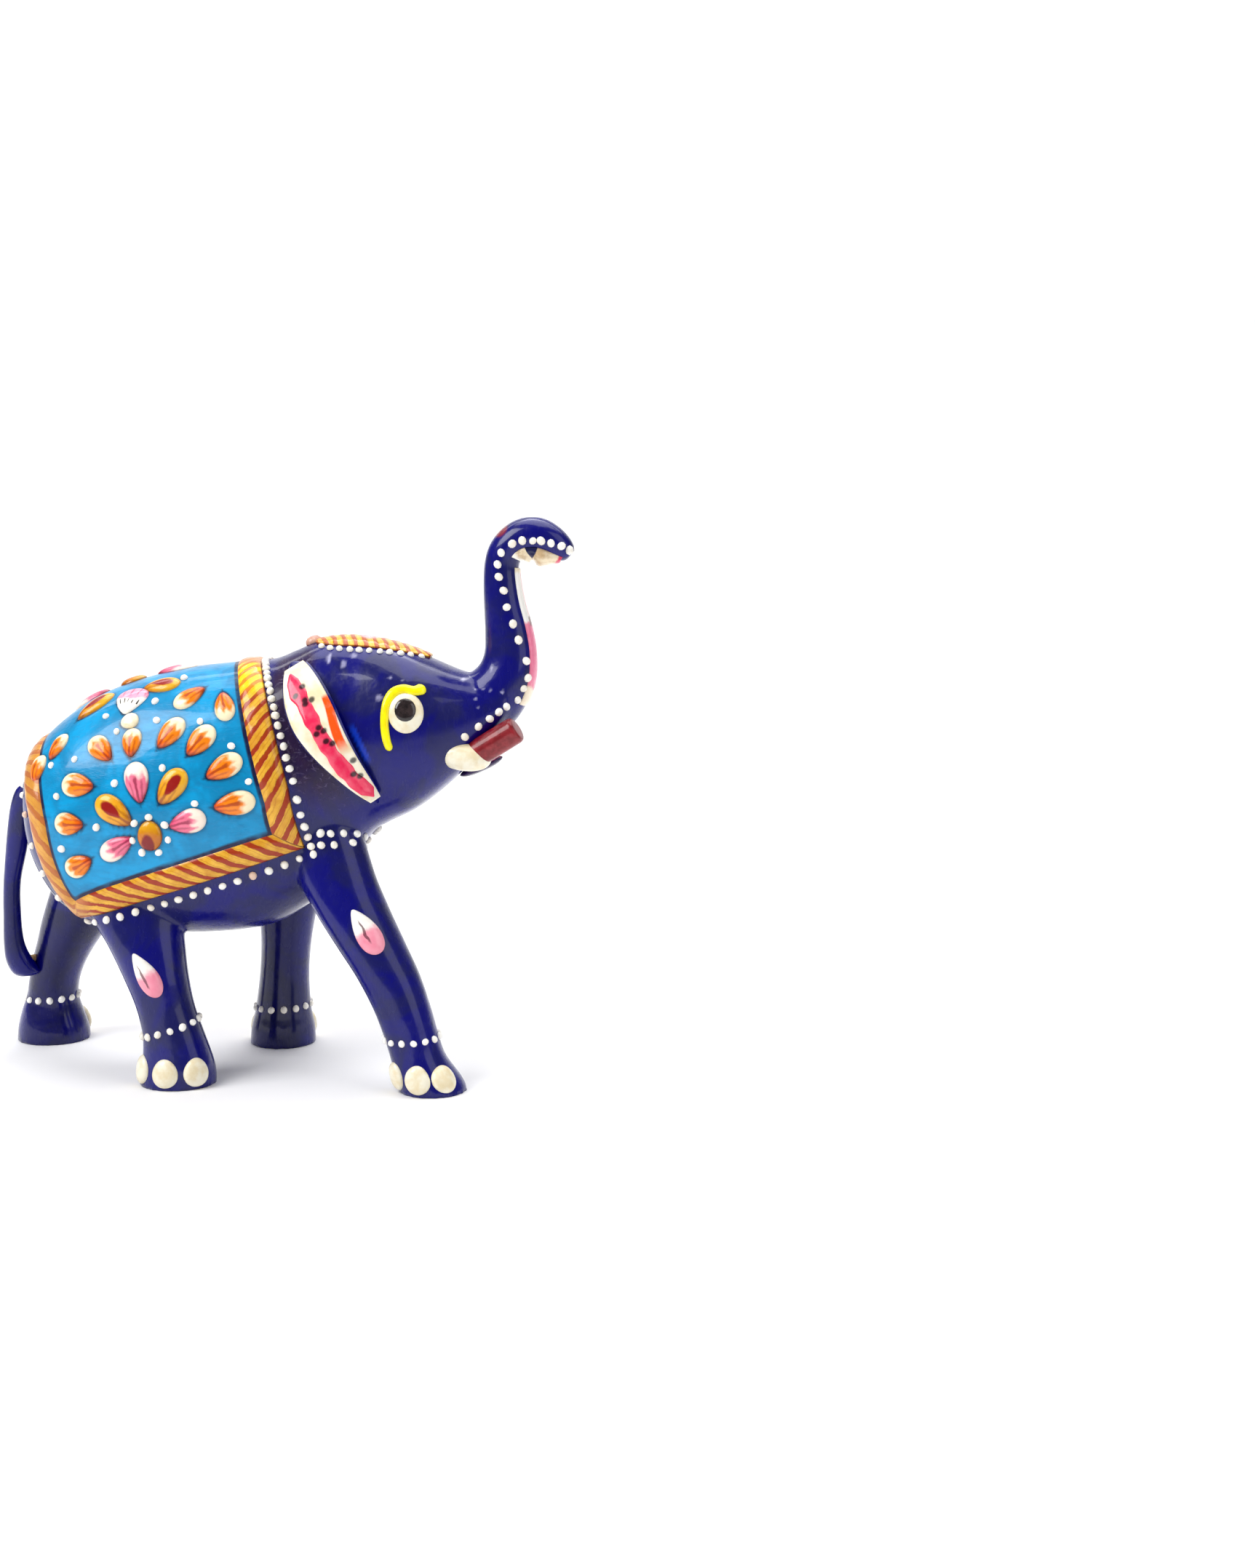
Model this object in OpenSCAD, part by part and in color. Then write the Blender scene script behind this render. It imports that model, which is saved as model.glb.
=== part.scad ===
// Raised-trunk elephant: glued wood blocks under one coat of enamel, with raised gesso work.
// The elephant faces +X, its left side is +Y, and it stands on the plane Z = 0.
// The blocks share one carved outline, so each glue joint closes flush.

/* [Figure] */
// Height from the soles to the crest of the trunk
figure_height = 149; // [120:1:180]
// Width of the body at the belly
body_width = 55; // [50:1:58]

/* [Glue joints] */
// Height of the flat joints between the body and the legs
leg_joint_z = 37.4; // [37.3:0.1:38]
// Diameter of the two neck dowels
neck_dowel_d = 6; // [4:0.5:8]
// Diameter of the trunk dowel
trunk_dowel_d = 5; // [3:0.5:6]
// Diameter of the leg dowels
leg_dowel_d = 6; // [4:0.5:7]
// Diameter of the tail and ear pins
pin_d = 2; // [1.5:0.1:2.4]

/* [Saddle cloth] */
// Thickness of the turquoise panel
cloth_thick = 0.5; // [0.3:0.1:0.8]
// Height of the gold border at its crown
border_height = 1.3; // [0.8:0.1:1.8]
// Slope of the lower hem, rise per millimetre forward
hem_slope = 0.33; // [0.31:0.005:0.34]

/* [Relief] */
// Diameter of an edge dot
edge_dot_d = 2.2; // [1.6:0.1:2.6]
// Diameter of a field dot
field_dot_d = 2; // [1.4:0.1:2.4]
// Height of a petal
petal_height = 1.3; // [0.8:0.1:1.8]
// Length of an orange petal
petal_length = 9.4; // [8:0.1:9.8]
// Diameter of an anklet dot
anklet_dot_d = 2; // [1.6:0.1:2.4]
// Height of a toenail
toenail_height = 1.5; // [0.8:0.1:2]

/* [Tusks] */
// Diameter of the dark red pegs
peg_d = 7.2; // [6:0.1:7.6]
// Length of the right peg from the middle of its root
peg_length = 15.5; // [12:0.5:17]
// Length of the left peg, which is a little shorter
left_peg_length = 12.5; // [10:0.5:17]

/* [Hidden] */

drawn_height = 149.2;
size = figure_height / drawn_height;
body_sides = 28;
leg_sides = 20;
trunk_sides = 20;
body_step = 3;
half_belly = body_width / 2;
navy = [0.1, 0.1, 0.42];
cream = [0.95, 0.93, 0.84];
gold = [0.85, 0.6, 0.15];
wood = [0.8, 0.65, 0.45];

// Body outline: station along X, top, bottom, half width as a share of the belly's
body_rows = [
    [-66.6, 76.5, 73, 0.08],
    [-66.1, 80, 69, 0.24],
    [-65, 83.3, 63.5, 0.42],
    [-63, 87, 57.3, 0.58],
    [-60, 90.5, 51, 0.71],
    [-55, 95, 44.5, 0.83],
    [-47, 100.5, 39.6, 0.93],
    [-36, 105, 37.8, 0.985],
    [-22, 108.5, 37.6, 1],
    [-8, 110.2, 38.4, 0.965],
    [2, 111.6, 40.5, 0.89],
    [8, 114, 44, 0.815],
    [13, 116, 47.5, 0.76],
    [19, 117, 53.5, 0.7],
    [24.5, 117, 61, 0.67],
    [28.5, 116.5, 65.6, 0.67],
    [33, 115.6, 68.3, 0.68],
    [39, 113.8, 71.2, 0.665],
    [45, 111.3, 75.4, 0.6],
    [51, 108.8, 80.7, 0.5],
    [56, 107.4, 85.8, 0.41],
    [60, 106.8, 90.2, 0.355],
    [64, 106, 95, 0.3],
    [67, 104.5, 98.8, 0.2]];
body_front_x = 67;
body_rear_x = -66.6;

// Trunk outline: X and Z of the centre line, half thickness fore and aft, half width
trunk_rows = [
    [55, 97.5, 9.2, 9.4],
    [60, 101.5, 8.8, 8.8],
    [63.4, 106.5, 7.9, 7.6],
    [64.7, 112.5, 6.9, 6.5],
    [64.3, 119, 6.2, 6],
    [63.3, 125.5, 5.4, 5.6],
    [62.7, 131.5, 4.9, 5.2],
    [62.7, 136.3, 4.6, 5],
    [63.7, 139.8, 4.6, 5.1],
    [66, 142.4, 4.8, 5.3],
    [69, 143.8, 5.1, 5.5],
    [72.4, 143.9, 5.1, 5.4],
    [75.4, 142.8, 4.6, 4.9],
    [78, 141.2, 3.9, 4.1],
    [80, 139.8, 2.9, 3],
    [81, 139, 1.7, 1.8]];

// Leg outlines: height, X of the centre, distance from the mid plane, half length, half width
right_hind_rows = [[0, -22.5, 20.4, 10.2, 9.2], [4, -22.3, 20.5, 9.8, 8.8], [8, -22.5, 20.6, 9, 8.2],
    [14, -23.5, 20.6, 8, 7.6], [21, -25.5, 20.2, 7.7, 7.5], [29, -28, 19.4, 8.6, 8.2],
    [37, -30.7, 17.8, 10.2, 8.8], [45, -34, 15.4, 12.4, 9.2], [55, -36.5, 13, 14, 10.4],
    [66, -38, 11, 13.5, 11.2], [78, -38, 9, 9, 9]];
left_hind_rows = [[0, -71, 22.4, 10.3, 9.6], [4, -71, 22.4, 9.9, 9.2], [9, -71.1, 22.2, 8.4, 8.2],
    [13, -70.7, 21.8, 7.2, 7.4], [18, -69.7, 21.2, 7.1, 7.3], [23, -68, 20.5, 7.6, 7.6],
    [29, -65, 19.4, 8.5, 8.1], [36, -61, 17.8, 10.2, 8.7], [45, -55.5, 15.4, 12, 9.2],
    [55, -50, 13, 13.2, 10.4], [66, -46, 11, 13, 11.2], [78, -43, 9, 9, 9]];
right_front_rows = [[0, 46.3, 23.2, 9, 8.8], [3, 45.2, 23.2, 8.7, 8.5], [9, 42.3, 23, 7.3, 7.6],
    [15, 40.4, 22.8, 7.2, 7.3], [22, 38, 22.2, 7.6, 7.5], [30, 34.4, 21.2, 8.4, 7.9],
    [38, 29.6, 19.4, 9.2, 8.4], [46, 24.8, 17.4, 9.9, 8.6], [55, 20, 14.8, 10.4, 8.4],
    [65, 16.8, 11.8, 10, 8.4], [75, 15.5, 9, 7.5, 7]];
left_front_rows = [[0, -4, 22, 9.3, 9], [5, -3.9, 22, 8.9, 8.6], [10, -3.7, 21.8, 7.9, 7.8],
    [20, -3, 21.2, 7, 7.1], [30, -2, 20.2, 7.1, 7.3], [40, -0.8, 18.4, 8.2, 7.9],
    [50, 1, 15.8, 9.5, 8.4], [62, 3, 12.6, 10.2, 8.8], [74, 4, 9.5, 7.5, 7.5]];

// Tail: centre X, Y, Z, half width fore and aft, half width across
tail_rows = [
    [-65.6, 0, 78.2, 2.4, 3],
    [-68.2, 0.4, 76.3, 2.6, 3],
    [-69.6, 1, 72, 3.2, 2.9],
    [-71.2, 2.4, 65.5, 3.3, 2.8],
    [-73.2, 4.2, 57, 3, 2.6],
    [-75.4, 6.2, 48, 2.4, 2.6],
    [-76.6, 8.4, 38.5, 2.4, 2.7],
    [-77.2, 10.4, 30.5, 2.7, 3],
    [-76.8, 12.2, 25.5, 3.2, 3.4],
    [-75.2, 13.8, 21.8, 3.4, 3.4],
    [-73, 15, 20.2, 2.4, 2.6]];

// Joint planes: a point on each, and how far its normal is raised from +X
neck_point = [19.5, 0, 89];
neck_rise = 25.6;
trunk_joint_point = [60, 0, 100];
trunk_joint_rise = 39;

// Seat of the right ear: top and bottom ends in side view, and the lift of its outer face
ear_top = [9.2, 111.6];
ear_bottom = [32.4, 75.5];
ear_lift_rows = [[0, 11.5], [0.2, 17.6], [0.4, 21.2], [0.6, 22], [0.8, 20.6], [1, 18]];
ear_width_rows = [
    [0, 2], [0.08, 4], [0.2, 5.6], [0.35, 6.2], [0.5, 5.5], [0.7, 4], [0.88, 2.5], [1, 0.9]];

// Petals of the saddle cloth's right half: X, Z, direction of the tip, length and width as shares
orange_rows = [
    [-52.4, 89.1, 235, 0.85, 0.6], [-58, 83.2, 260, 0.85, 0.72], [-39.5, 89.3, 315, 0.95, 0.72],
    [-31.1, 91.1, 270, 0.85, 0.66], [-21, 93.6, 235, 1.05, 0.72], [-13, 91.8, 232, 1.05, 0.76],
    [-6.6, 85.2, 212, 1.1, 0.76], [-3.9, 75.9, 190, 1.15, 0.78], [-45.3, 80.1, 355, 1, 0.78],
    [-47.7, 70.1, 0, 0.9, 0.74], [-45.5, 59.2, 30, 0.9, 0.72], [-17.4, 102.2, 42, 1, 0.68],
    [-7.7, 100.2, 105, 0.95, 0.66]];
gold_rows = [
    [-19.9, 80.3, 235, 1.15, 0.8], [-35.2, 73.8, 325, 1.2, 0.84], [-26, 104.7, 180, 1.1, 0.72],
    [-44.1, 99.2, 218, 1.25, 0.72]];
pink_rows = [
    [-29, 81.3, 280, 1.15, 0.82], [-15.9, 71.3, 195, 1.05, 0.8], [-34.7, 64.3, 32, 1.08, 0.72]];
heart_rows = [[-25.8, 67.6, 90, 0.85, 0.72]];
tulip_rows = [[-33.6, 101, 262, 1.02, 1.2]];
tulip_base_rows = [[-32.4, 96.3, 262, 0.5, 0.48]];
spine_petal_rows = [[-25, 180], [-48.5, 0]];
spine_heart_x = -37;
field_dot_rows = [
    [-20.5, 106.5], [-26.5, 101], [-39.5, 97], [-25, 96.5], [-13.5, 96.5], [-35.5, 93.5], [-5, 90.5],
    [-46.5, 86.5], [-53.5, 84.5], [-22.5, 85], [-0.5, 81.5], [-35, 81], [-51, 77], [-14, 76], [-26, 72.5],
    [-29.8, 70.8], [-21.8, 70.4], [-40, 69.5], [-50, 63.5], [-30.4, 66.3], [-21, 66.6], [-28, 63.2],
    [-23.7, 63.2]];

// Eye and brow on the right cheek
eye_spot = [39.5, 98.8];
eye_size = [11, 9.4];
eye_height = 0.9;
pupil_spot = [39.3, 99.4];
pupil_size = [6, 5.4];
pupil_height = 0.5;
brow_rows = [
    [44, 105], [41.5, 104.3], [38.5, 104.8], [36, 103.8], [34.4, 101], [34, 96.5], [34.5, 92], [35.5, 89]];
brow_width_rows = [
    [0, 1.9], [1, 1.35], [2, 1.3], [3, 1.35], [4, 1.15], [5, 1.1], [6, 1.1], [7, 0.95]];
brow_height = 0.8;

// Dots along the right side of the trunk: place on the centre line, turn from the inner curve
trunk_dot_rows = [
    [1.6, 45], [2, 42], [2.35, 38], [2.9, 46], [3.65, 61], [4.3, 68], [5, 75], [5.7, 80], [6.4, 90],
    [7.1, 98], [7.95, 96], [8.95, 86], [9.85, 81], [10.75, 79], [11.5, 83], [12.3, 89], [13.2, 102],
    [14.2, 112]];
snout_dot_rows = [[54, 92.1], [57.5, 94.6], [60.3, 96.6], [62.6, 98.2], [64.6, 99.6]];

// Drops and anklets: leg, side, turn and height of the drop, its tip direction, length, width, anklet
// height and tilt
leg_trim = [
    [right_front_rows, -1, 71, 42.8, 75, 13.6, 8.6, 14, 0.3],
    [right_hind_rows, -1, 88, 30.6, 74, 13.4, 7.4, 15.2, 2.2],
    [left_front_rows, 1, 80, 29, 66, 10.4, 6.8, 11, 0.3],
    [left_hind_rows, 1, 90, 29.6, 60, 10.4, 6.8, 12.6, 0.3]];
toenail_turns = [47, 98, 152];
toenail_z = 4.6;
toenail_size = [7.8, 8];

// ---- small vector helpers ----
function unit(v) = v / norm(v);
function sign_power(value, power) = sign(value) * pow(abs(value), power);

// Smooth curve through rows keyed by their first value
function row_index(rows, key, i = 0) =
    i >= len(rows) - 2 || key < rows[i + 1][0] ? i : row_index(rows, key, i + 1);
function row_slope(rows, i) =
    let (a = rows[max(i - 1, 0)], b = rows[min(i + 1, len(rows) - 1)]) (b - a) / (b[0] - a[0]);
function smooth_at(rows, key) =
    let (
        i = row_index(rows, key),
        a = rows[i],
        b = rows[i + 1],
        span = b[0] - a[0],
        f = min(max((key - a[0]) / span, 0), 1),
        f2 = f * f,
        f3 = f2 * f)
    a * (2 * f3 - 3 * f2 + 1) + b * (3 * f2 - 2 * f3)
        + (row_slope(rows, i) * (f3 - 2 * f2 + f) + row_slope(rows, i + 1) * (f3 - f2)) * span;

// Smooth curve through rows taken one after another, by row number
function along(rows, t) =
    let (
        last = len(rows) - 1,
        i = min(floor(t), last - 1),
        f = t - i,
        a = rows[max(i - 1, 0)],
        b = rows[i],
        c = rows[i + 1],
        d = rows[min(i + 2, last)])
    0.5 * (2 * b + (c - a) * f + (2 * a - 5 * b + 4 * c - d) * f * f + (3 * b - a - 3 * c + d) * f * f * f);

// ---- outline of the carved form ----
// Body: x is the station, turn runs from 0 on the spine to 90 on the right flank and 180 under the belly
upper_power = 2 / 2.1;
lower_power = 2 / 2.7;
waist_share = 0.48;
function body_waist(row) = row[2] + waist_share * (row[1] - row[2]);
function body_point(x, turn) =
    let (
        row = smooth_at(body_rows, x),
        waist = body_waist(row),
        up = cos(turn) > 0,
        power = up ? upper_power : lower_power,
        reach = up ? row[1] - waist : waist - row[2])
    [x, -row[3] * half_belly * sign_power(sin(turn), power), waist + reach * sign_power(cos(turn), power)];
function body_turn(x, z) =
    let (
        row = smooth_at(body_rows, x),
        waist = body_waist(row),
        up = z > waist,
        share = min(max((z - waist) / (up ? row[1] - waist : waist - row[2]), -1), 1))
    acos(sign_power(share, 1 / (up ? upper_power : lower_power)));

// Half width of a leg at a point in side view, 0 where the leg isn't there
function leg_reach(rows, x, z) =
    let (row = smooth_at(rows, z), share = (x - row[1]) / row[3])
    abs(share) >= 1 ? 0 : row[2] + row[4] * sqrt(1 - share * share);
// Body point moved out to the thigh or shoulder where a leg stands further out
function flank_point(x, turn) =
    let (
        p = body_point(x, turn),
        rows = p[1] < 0 ? [right_hind_rows, right_front_rows] : [left_hind_rows, left_front_rows],
        reach = max(leg_reach(rows[0], p[0], p[2]), leg_reach(rows[1], p[0], p[2])),
        covered = p[2] < 70 && abs(p[1]) < reach)
    covered ? [p[0], (p[1] < 0 ? -1 : 1) * reach, p[2]] : p;

// Leg: turn runs from 0 at the front to 90 on the outer side, side is -1 for a right leg
function leg_point(rows, side, turn, z) =
    let (row = smooth_at(rows, z))
    [row[1] + row[3] * cos(turn), side * (row[2] + row[4] * sin(turn)), z];

// Trunk: turn runs from 0 on the inner curve to 90 on the right side
trunk_last = len(trunk_rows) - 1;
function trunk_heading(t) =
    let (d = along(trunk_rows, min(t + 0.05, trunk_last)) - along(trunk_rows, max(t - 0.05, 0)))
    unit([d[0], 0, d[1]]);
function trunk_point(turn, t) =
    let (row = along(trunk_rows, t), h = trunk_heading(t))
    [row[0], 0, row[1]] + [h[2], 0, -h[0]] * row[2] * cos(turn) + [0, -1, 0] * row[3] * sin(turn);

// Right ear: along runs from 0 at the top to 1 at the lower tip, across from -1 behind to 1 in front
ear_length = norm(ear_bottom - ear_top);
ear_down = (ear_bottom - ear_top) / ear_length;
ear_across = [-ear_down[1], ear_down[0]];
ear_flare = 3.6;
ear_bow = 1.7;
ear_crown = 0.7;
function ear_point(share, across) =
    let (
        half = smooth_at(ear_width_rows, share)[1],
        out = smooth_at(ear_lift_rows, share)[1] + ear_flare * (1 - across) / 2
            + ear_crown * (1 - across * across),
        aside = half * across - ear_bow * sin(180 * share),
        spot = ear_top + ear_down * ear_length * share + ear_across * aside)
    [spot[0], -out, spot[1]];

// Outward normal of a face, where face(u, v) gives its points. Every face function below takes u and v
// in the order that makes this cross product point outwards.
function normal_of(face, u, v, du, dv) =
    unit(cross(face(u, v + dv) - face(u, v - dv), face(u + du, v) - face(u - du, v)));

body_face = function (x, turn) flank_point(x, turn);
trunk_face = function (turn, t) trunk_point(turn, t);
ear_front = function (share, across) ear_point(share, across);
function leg_face(rows, side) = side < 0
    ? function (turn, z) leg_point(rows, side, turn, z)
    : function (turn, z) leg_point(rows, side, -turn, z);

// Copy of a face that stands a little further out
function lifted(face, by, du, dv) = function (u, v) face(u, v) + normal_of(face, u, v, du, dv) * by;

// Saddle cloth: u runs from 0 at the rear edge to 1 at the front edge, v from -1 at the left hem over
// the spine to 1 at the right hem
hem_z_at_origin = 59.2;
lowest_hem_turn = 150;
front_edge_x = -1.8;
front_edge_sweep = 14.7;
front_edge_power = 1.2;
rear_edge_x = -65.2;
rear_edge_sweep = 17.6;
rear_edge_hold = 0.35;
function cloth_front_x(v) = front_edge_x + front_edge_sweep * pow(abs(v), front_edge_power);
function cloth_rear_x(v) = rear_edge_x + rear_edge_sweep * v * v * (1 - rear_edge_hold * (1 - v * v));
function hem_turn(x) = min(body_turn(x, hem_z_at_origin + hem_slope * x), lowest_hem_turn);
cloth_face = function (u, v)
    let (x = cloth_rear_x(v) + (cloth_front_x(v) - cloth_rear_x(v)) * u)
    flank_point(x, v * hem_turn(x));
front_band = 0.105;
rear_band = 0.095;
hem_band = 0.105;
rear_corner_gain = 0.06;
// The band along the hem widens towards its rear corner
function hem_share(u) = 1 - hem_band - rear_corner_gain * (1 - u) * (1 - u);
panel_face = function (u, v) cloth_face(u, v * hem_share(u));

// Head cloth: u runs from 0 behind to 1 in front, v from -1 at its left edge to 1 at its right edge
head_cloth_x = [13.5, 43.5];
head_cloth_turn = 21;
function head_cloth_half(u) = head_cloth_turn * pow(sin(180 * pow(0.03 + 0.94 * u, 0.8)), 0.5);
head_cloth_face = function (u, v)
    body_point(head_cloth_x[0] + (head_cloth_x[1] - head_cloth_x[0]) * u, v * head_cloth_half(u));

// ---- solids from rings of points ----
// Walls between rings with the same number of points
function walls(count, sides) = [for (i = [0 : count - 2], k = [0 : sides - 1])
    let (m = (k + 1) % sides, a = i * sides, b = a + sides)
    each [[a + k, b + k, b + m], [a + k, b + m, a + m]]];

// Closed skin through rings, its flat ends capped
module skin(rings) {
    sides = len(rings[0]);
    first_of_last = (len(rings) - 1) * sides;
    polyhedron(
        points = [for (ring = rings) each ring],
        faces = concat(
            [[for (k = [0 : sides - 1]) k]],
            walls(len(rings), sides),
            [[for (k = [sides - 1 : -1 : 0]) first_of_last + k]]));
}

// Closed skin through rings whose curved ends are fans round their middle points
function middle(ring) = [for (i = [0 : 2]) [for (p = ring) p[i]] * [for (p = ring) 1] / len(ring)];
module skin_fan(rings) {
    sides = len(rings[0]);
    last = len(rings) - 1;
    first_middle = (last + 1) * sides;
    polyhedron(
        points = concat([for (ring = rings) each ring], [middle(rings[0]), middle(rings[last])]),
        faces = concat(
            [for (k = [0 : sides - 1]) [first_middle, k, (k + 1) % sides]],
            walls(last + 1, sides),
            [for (k = [0 : sides - 1])
                let (m = (k + 1) % sides)
                [first_middle + 1, last * sides + m, last * sides + k]]));
}

// Closed skin through thin rings, point k of one side over point sides - 1 - k of the other
module skin_strip(rings) {
    sides = len(rings[0]);
    first_of_last = (len(rings) - 1) * sides;
    function ladder(a) = [for (k = [0 : sides / 2 - 2])
        let (m = sides - 1 - k)
        each [[a + k, a + k + 1, a + m - 1], [a + k, a + m - 1, a + m]]];
    polyhedron(
        points = [for (ring = rings) each ring],
        faces = concat(
            ladder(0),
            walls(len(rings), sides),
            [for (face = ladder(first_of_last)) [face[2], face[1], face[0]]]));
}

// Closed skin through rings that come back to the first one
module skin_loop(rings) {
    sides = len(rings[0]);
    count = len(rings);
    polyhedron(
        points = [for (ring = rings) each ring],
        faces = [for (i = [0 : count - 1], k = [0 : sides - 1])
            let (m = (k + 1) % sides, a = i * sides, b = ((i + 1) % count) * sides)
            each [[a + k, b + k, b + m], [a + k, b + m, a + m]]]);
}

// Plate on a face: rows of points across, from its underside to its raised face
module plate(face, us, vs, du, dv, height_at) {
    rings = [for (u = us)
        concat(
            [for (v = vs) face(u, v) + normal_of(face, u, v, du, dv) * height_at(u, v)],
            [for (i = [len(vs) - 1 : -1 : 0]) face(u, vs[i])])];
    skin_strip(rings);
}

// Pad on a face at (u, v): a teardrop with its point towards heading, domed to height
pad_rings = [[1, 0], [0.92, 0.55], [0.5, 1]];
module pad(face, u, v, du, dv, length, width, heading, height, sharpness = 0.35, steps = 12) {
    across_u = norm(face(u + du, v) - face(u - du, v)) / (2 * du);
    across_v = norm(face(u, v + dv) - face(u, v - dv)) / (2 * dv);
    normal = normal_of(face, u, v, du, dv);
    function outline(turn) =
        let (taper = 1 - sharpness * pow((1 + cos(turn)) / 2, 1.5))
        [length / 2 * cos(turn), width / 2 * sin(turn) * taper];
    function spot(share, turn) =
        let (q = outline(turn) * share)
        face(
            u + (q[0] * cos(heading) - q[1] * sin(heading)) / across_u,
            v + (q[0] * sin(heading) + q[1] * cos(heading)) / across_v);
    rings = [for (ring = pad_rings)
        [for (k = [0 : steps - 1]) spot(ring[0], -360 * k / steps) + normal * height * ring[1]]];
    skin_fan(rings);
}

// Dome that stands on a face at (u, v)
dot_sink = 0.05;
module dot_on(face, u, v, du, dv, d) {
    normal = normal_of(face, u, v, du, dv);
    translate(face(u, v) - normal * dot_sink)
    rotate([0, acos(normal[2]), atan2(normal[1], normal[0])])
    dome(d);
}

dome_drop = 0.08;
module dome(d) {
    difference() {
        translate([0, 0, -dome_drop * d]) sphere(d = d, $fn = 24);
        translate([-d, -d, -2 * d]) cube(2 * d);
    }
}

module both_sides() {
    children();
    mirror([0, 1, 0]) children();
}

// Everything ahead of a plane through a point, its normal raised from +X
whole = 200;
module ahead_of(point, rise) {
    translate(point)
    rotate([0, -rise, 0])
    translate([0, -whole / 2, -whole / 2])
    cube(whole);
}

// Everything above a height
module above(z) {
    translate([-whole / 2, -whole / 2, z]) cube(whole);
}

module rod_at(point, rise, d, length) {
    translate(point) rotate([0, 90 - rise, 0]) cylinder(d = d, h = length, center = true, $fn = 32);
}

// ---- carved form, before it is cut into blocks ----
body_stations = concat(
    [body_rear_x, -66.1, -65.2, -64, -62.3],
    [for (x = [-60 : body_step : body_front_x - 1]) x],
    [body_front_x]);
module body_form(from = body_rear_x, to = body_front_x) {
    skin([for (x = body_stations)
        if (x >= from && x <= to)
            [for (k = [0 : body_sides - 1]) body_point(x, 360 * k / body_sides)]]);
}

module leg_form(rows, side, from, to) {
    heights = concat([0, 2, 5], [for (z = [9 : 5 : to]) z]);
    rings = [for (z = heights)
        if (z >= from)
            [for (k = [0 : leg_sides - 1]) leg_point(rows, side, side * 360 * k / leg_sides, z)]];
    skin(rings);
}

module trunk_form(from, to) {
    rings = [for (t = [from : 0.5 : to])
        [for (k = [0 : trunk_sides - 1]) trunk_point(-360 * k / trunk_sides, t)]];
    skin(rings);
}

// ---- joinery ----
neck_dowel_spots = [neck_point + [-9, 0, 18.8], neck_point + [5.2, 0, -10.9]];
neck_dowel_length = 26;
trunk_dowel_length = 20;
leg_dowel_length = 18;
dowel_spin = 35;
pin_length = 9;
bore_spare = 1;
bore_clearance = 0.1;

module neck_rods(spare = 0, gap = 0) {
    for (spot = neck_dowel_spots) rod_at(spot, neck_rise, neck_dowel_d + gap, neck_dowel_length + spare);
}

module trunk_rod(spare = 0, gap = 0) {
    rod_at(trunk_joint_point, trunk_joint_rise, trunk_dowel_d + gap, trunk_dowel_length + spare);
}

// A leg dowel follows the leg's own slope through the joint
module leg_rod(rows, side, spare = 0, gap = 0) {
    row = smooth_at(rows, leg_joint_z);
    ahead = smooth_at(rows, leg_joint_z + 6) - smooth_at(rows, leg_joint_z - 6);
    way = unit([ahead[1], side * ahead[2], ahead[0]]);
    translate([row[1], side * row[2], leg_joint_z])
    rotate([0, acos(way[2]), atan2(way[1], way[0])])
    rotate([0, 0, dowel_spin])
    cylinder(d = leg_dowel_d + gap, h = leg_dowel_length + spare, center = true, $fn = 32);
}

module leg_rods(spare = 0, gap = 0) {
    leg_rod(right_front_rows, -1, spare, gap);
    leg_rod(left_front_rows, 1, spare, gap);
    leg_rod(right_hind_rows, -1, spare, gap);
    leg_rod(left_hind_rows, 1, spare, gap);
}

tail_top_pin = [-63.6, 0.3, 76.6];
tail_low_pin = [-72.6, 16, 25];
tail_low_turn = 40;
module tail_top_rod(spare = 0, gap = 0) {
    rod_at(tail_top_pin, 0, pin_d + gap, pin_length + spare);
}

module tail_low_rod(spare = 0, gap = 0) {
    translate(tail_low_pin)
    rotate([0, 90, tail_low_turn])
    cylinder(d = pin_d + gap, h = pin_length + spare, center = true, $fn = 24);
}

ear_pin_spot = [21.5, -19, 95];
module ear_rod(spare = 0, gap = 0) {
    translate(ear_pin_spot)
    rotate([90, 0, 0])
    cylinder(d = pin_d + gap, h = pin_length - 1 + spare, center = true, $fn = 24);
}

peg_base = [54.8, -9.4, 86];
peg_rise = 32;
peg_spread = 6;
peg_depth = 9;
tenon_d = 3;
tenon_overlap = 0.1;
module peg_axis() {
    translate(peg_base) rotate([0, 90 - peg_rise, 0]) rotate([peg_spread, 0, 0]) children();
}

module peg_tenon(spare = 0, gap = 0) {
    peg_axis()
    translate([0, 0, -peg_depth - spare])
    cylinder(d = tenon_d + gap, h = peg_depth + spare + tenon_overlap, $fn = 32);
}

module peg_body(length = peg_length) {
    peg_axis() cylinder(d = peg_d, h = length, $fn = 32);
}

root_size = [15, 10.4, 7.6];
root_shift = [-1.6, 0, 0.6];
root_tilt = 8;
module root_form() {
    translate(peg_base + root_shift)
    rotate([0, root_tilt, 0])
    scale(root_size)
    sphere(d = 1, $fn = 32);
}

lip_root = [53.4, 0, 81.2];
lip_root_size = [5, 7.5, 3];
lip_end = [60.1, 0, 84.2];
lip_end_size = [5, 8, 2.5];
module lip_form() {
    hull() {
        translate(lip_root) scale(lip_root_size) sphere(d = 1, $fn = 20);
        translate(lip_end) scale(lip_end_size) sphere(d = 1, $fn = 20);
    }
}

tail_sides = 12;
tail_lean = 0.3;
module tail_form() {
    last = len(tail_rows) - 1;
    rings = [for (t = [0 : 0.5 : last])
        let (row = along(tail_rows, t))
        [for (k = [0 : tail_sides - 1])
            let (turn = -360 * k / tail_sides)
            [row[0], row[1], row[2]]
                + [row[3] * cos(turn), row[4] * sin(turn), tail_lean * row[3] * cos(turn)]]];
    skin(rings);
}

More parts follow.
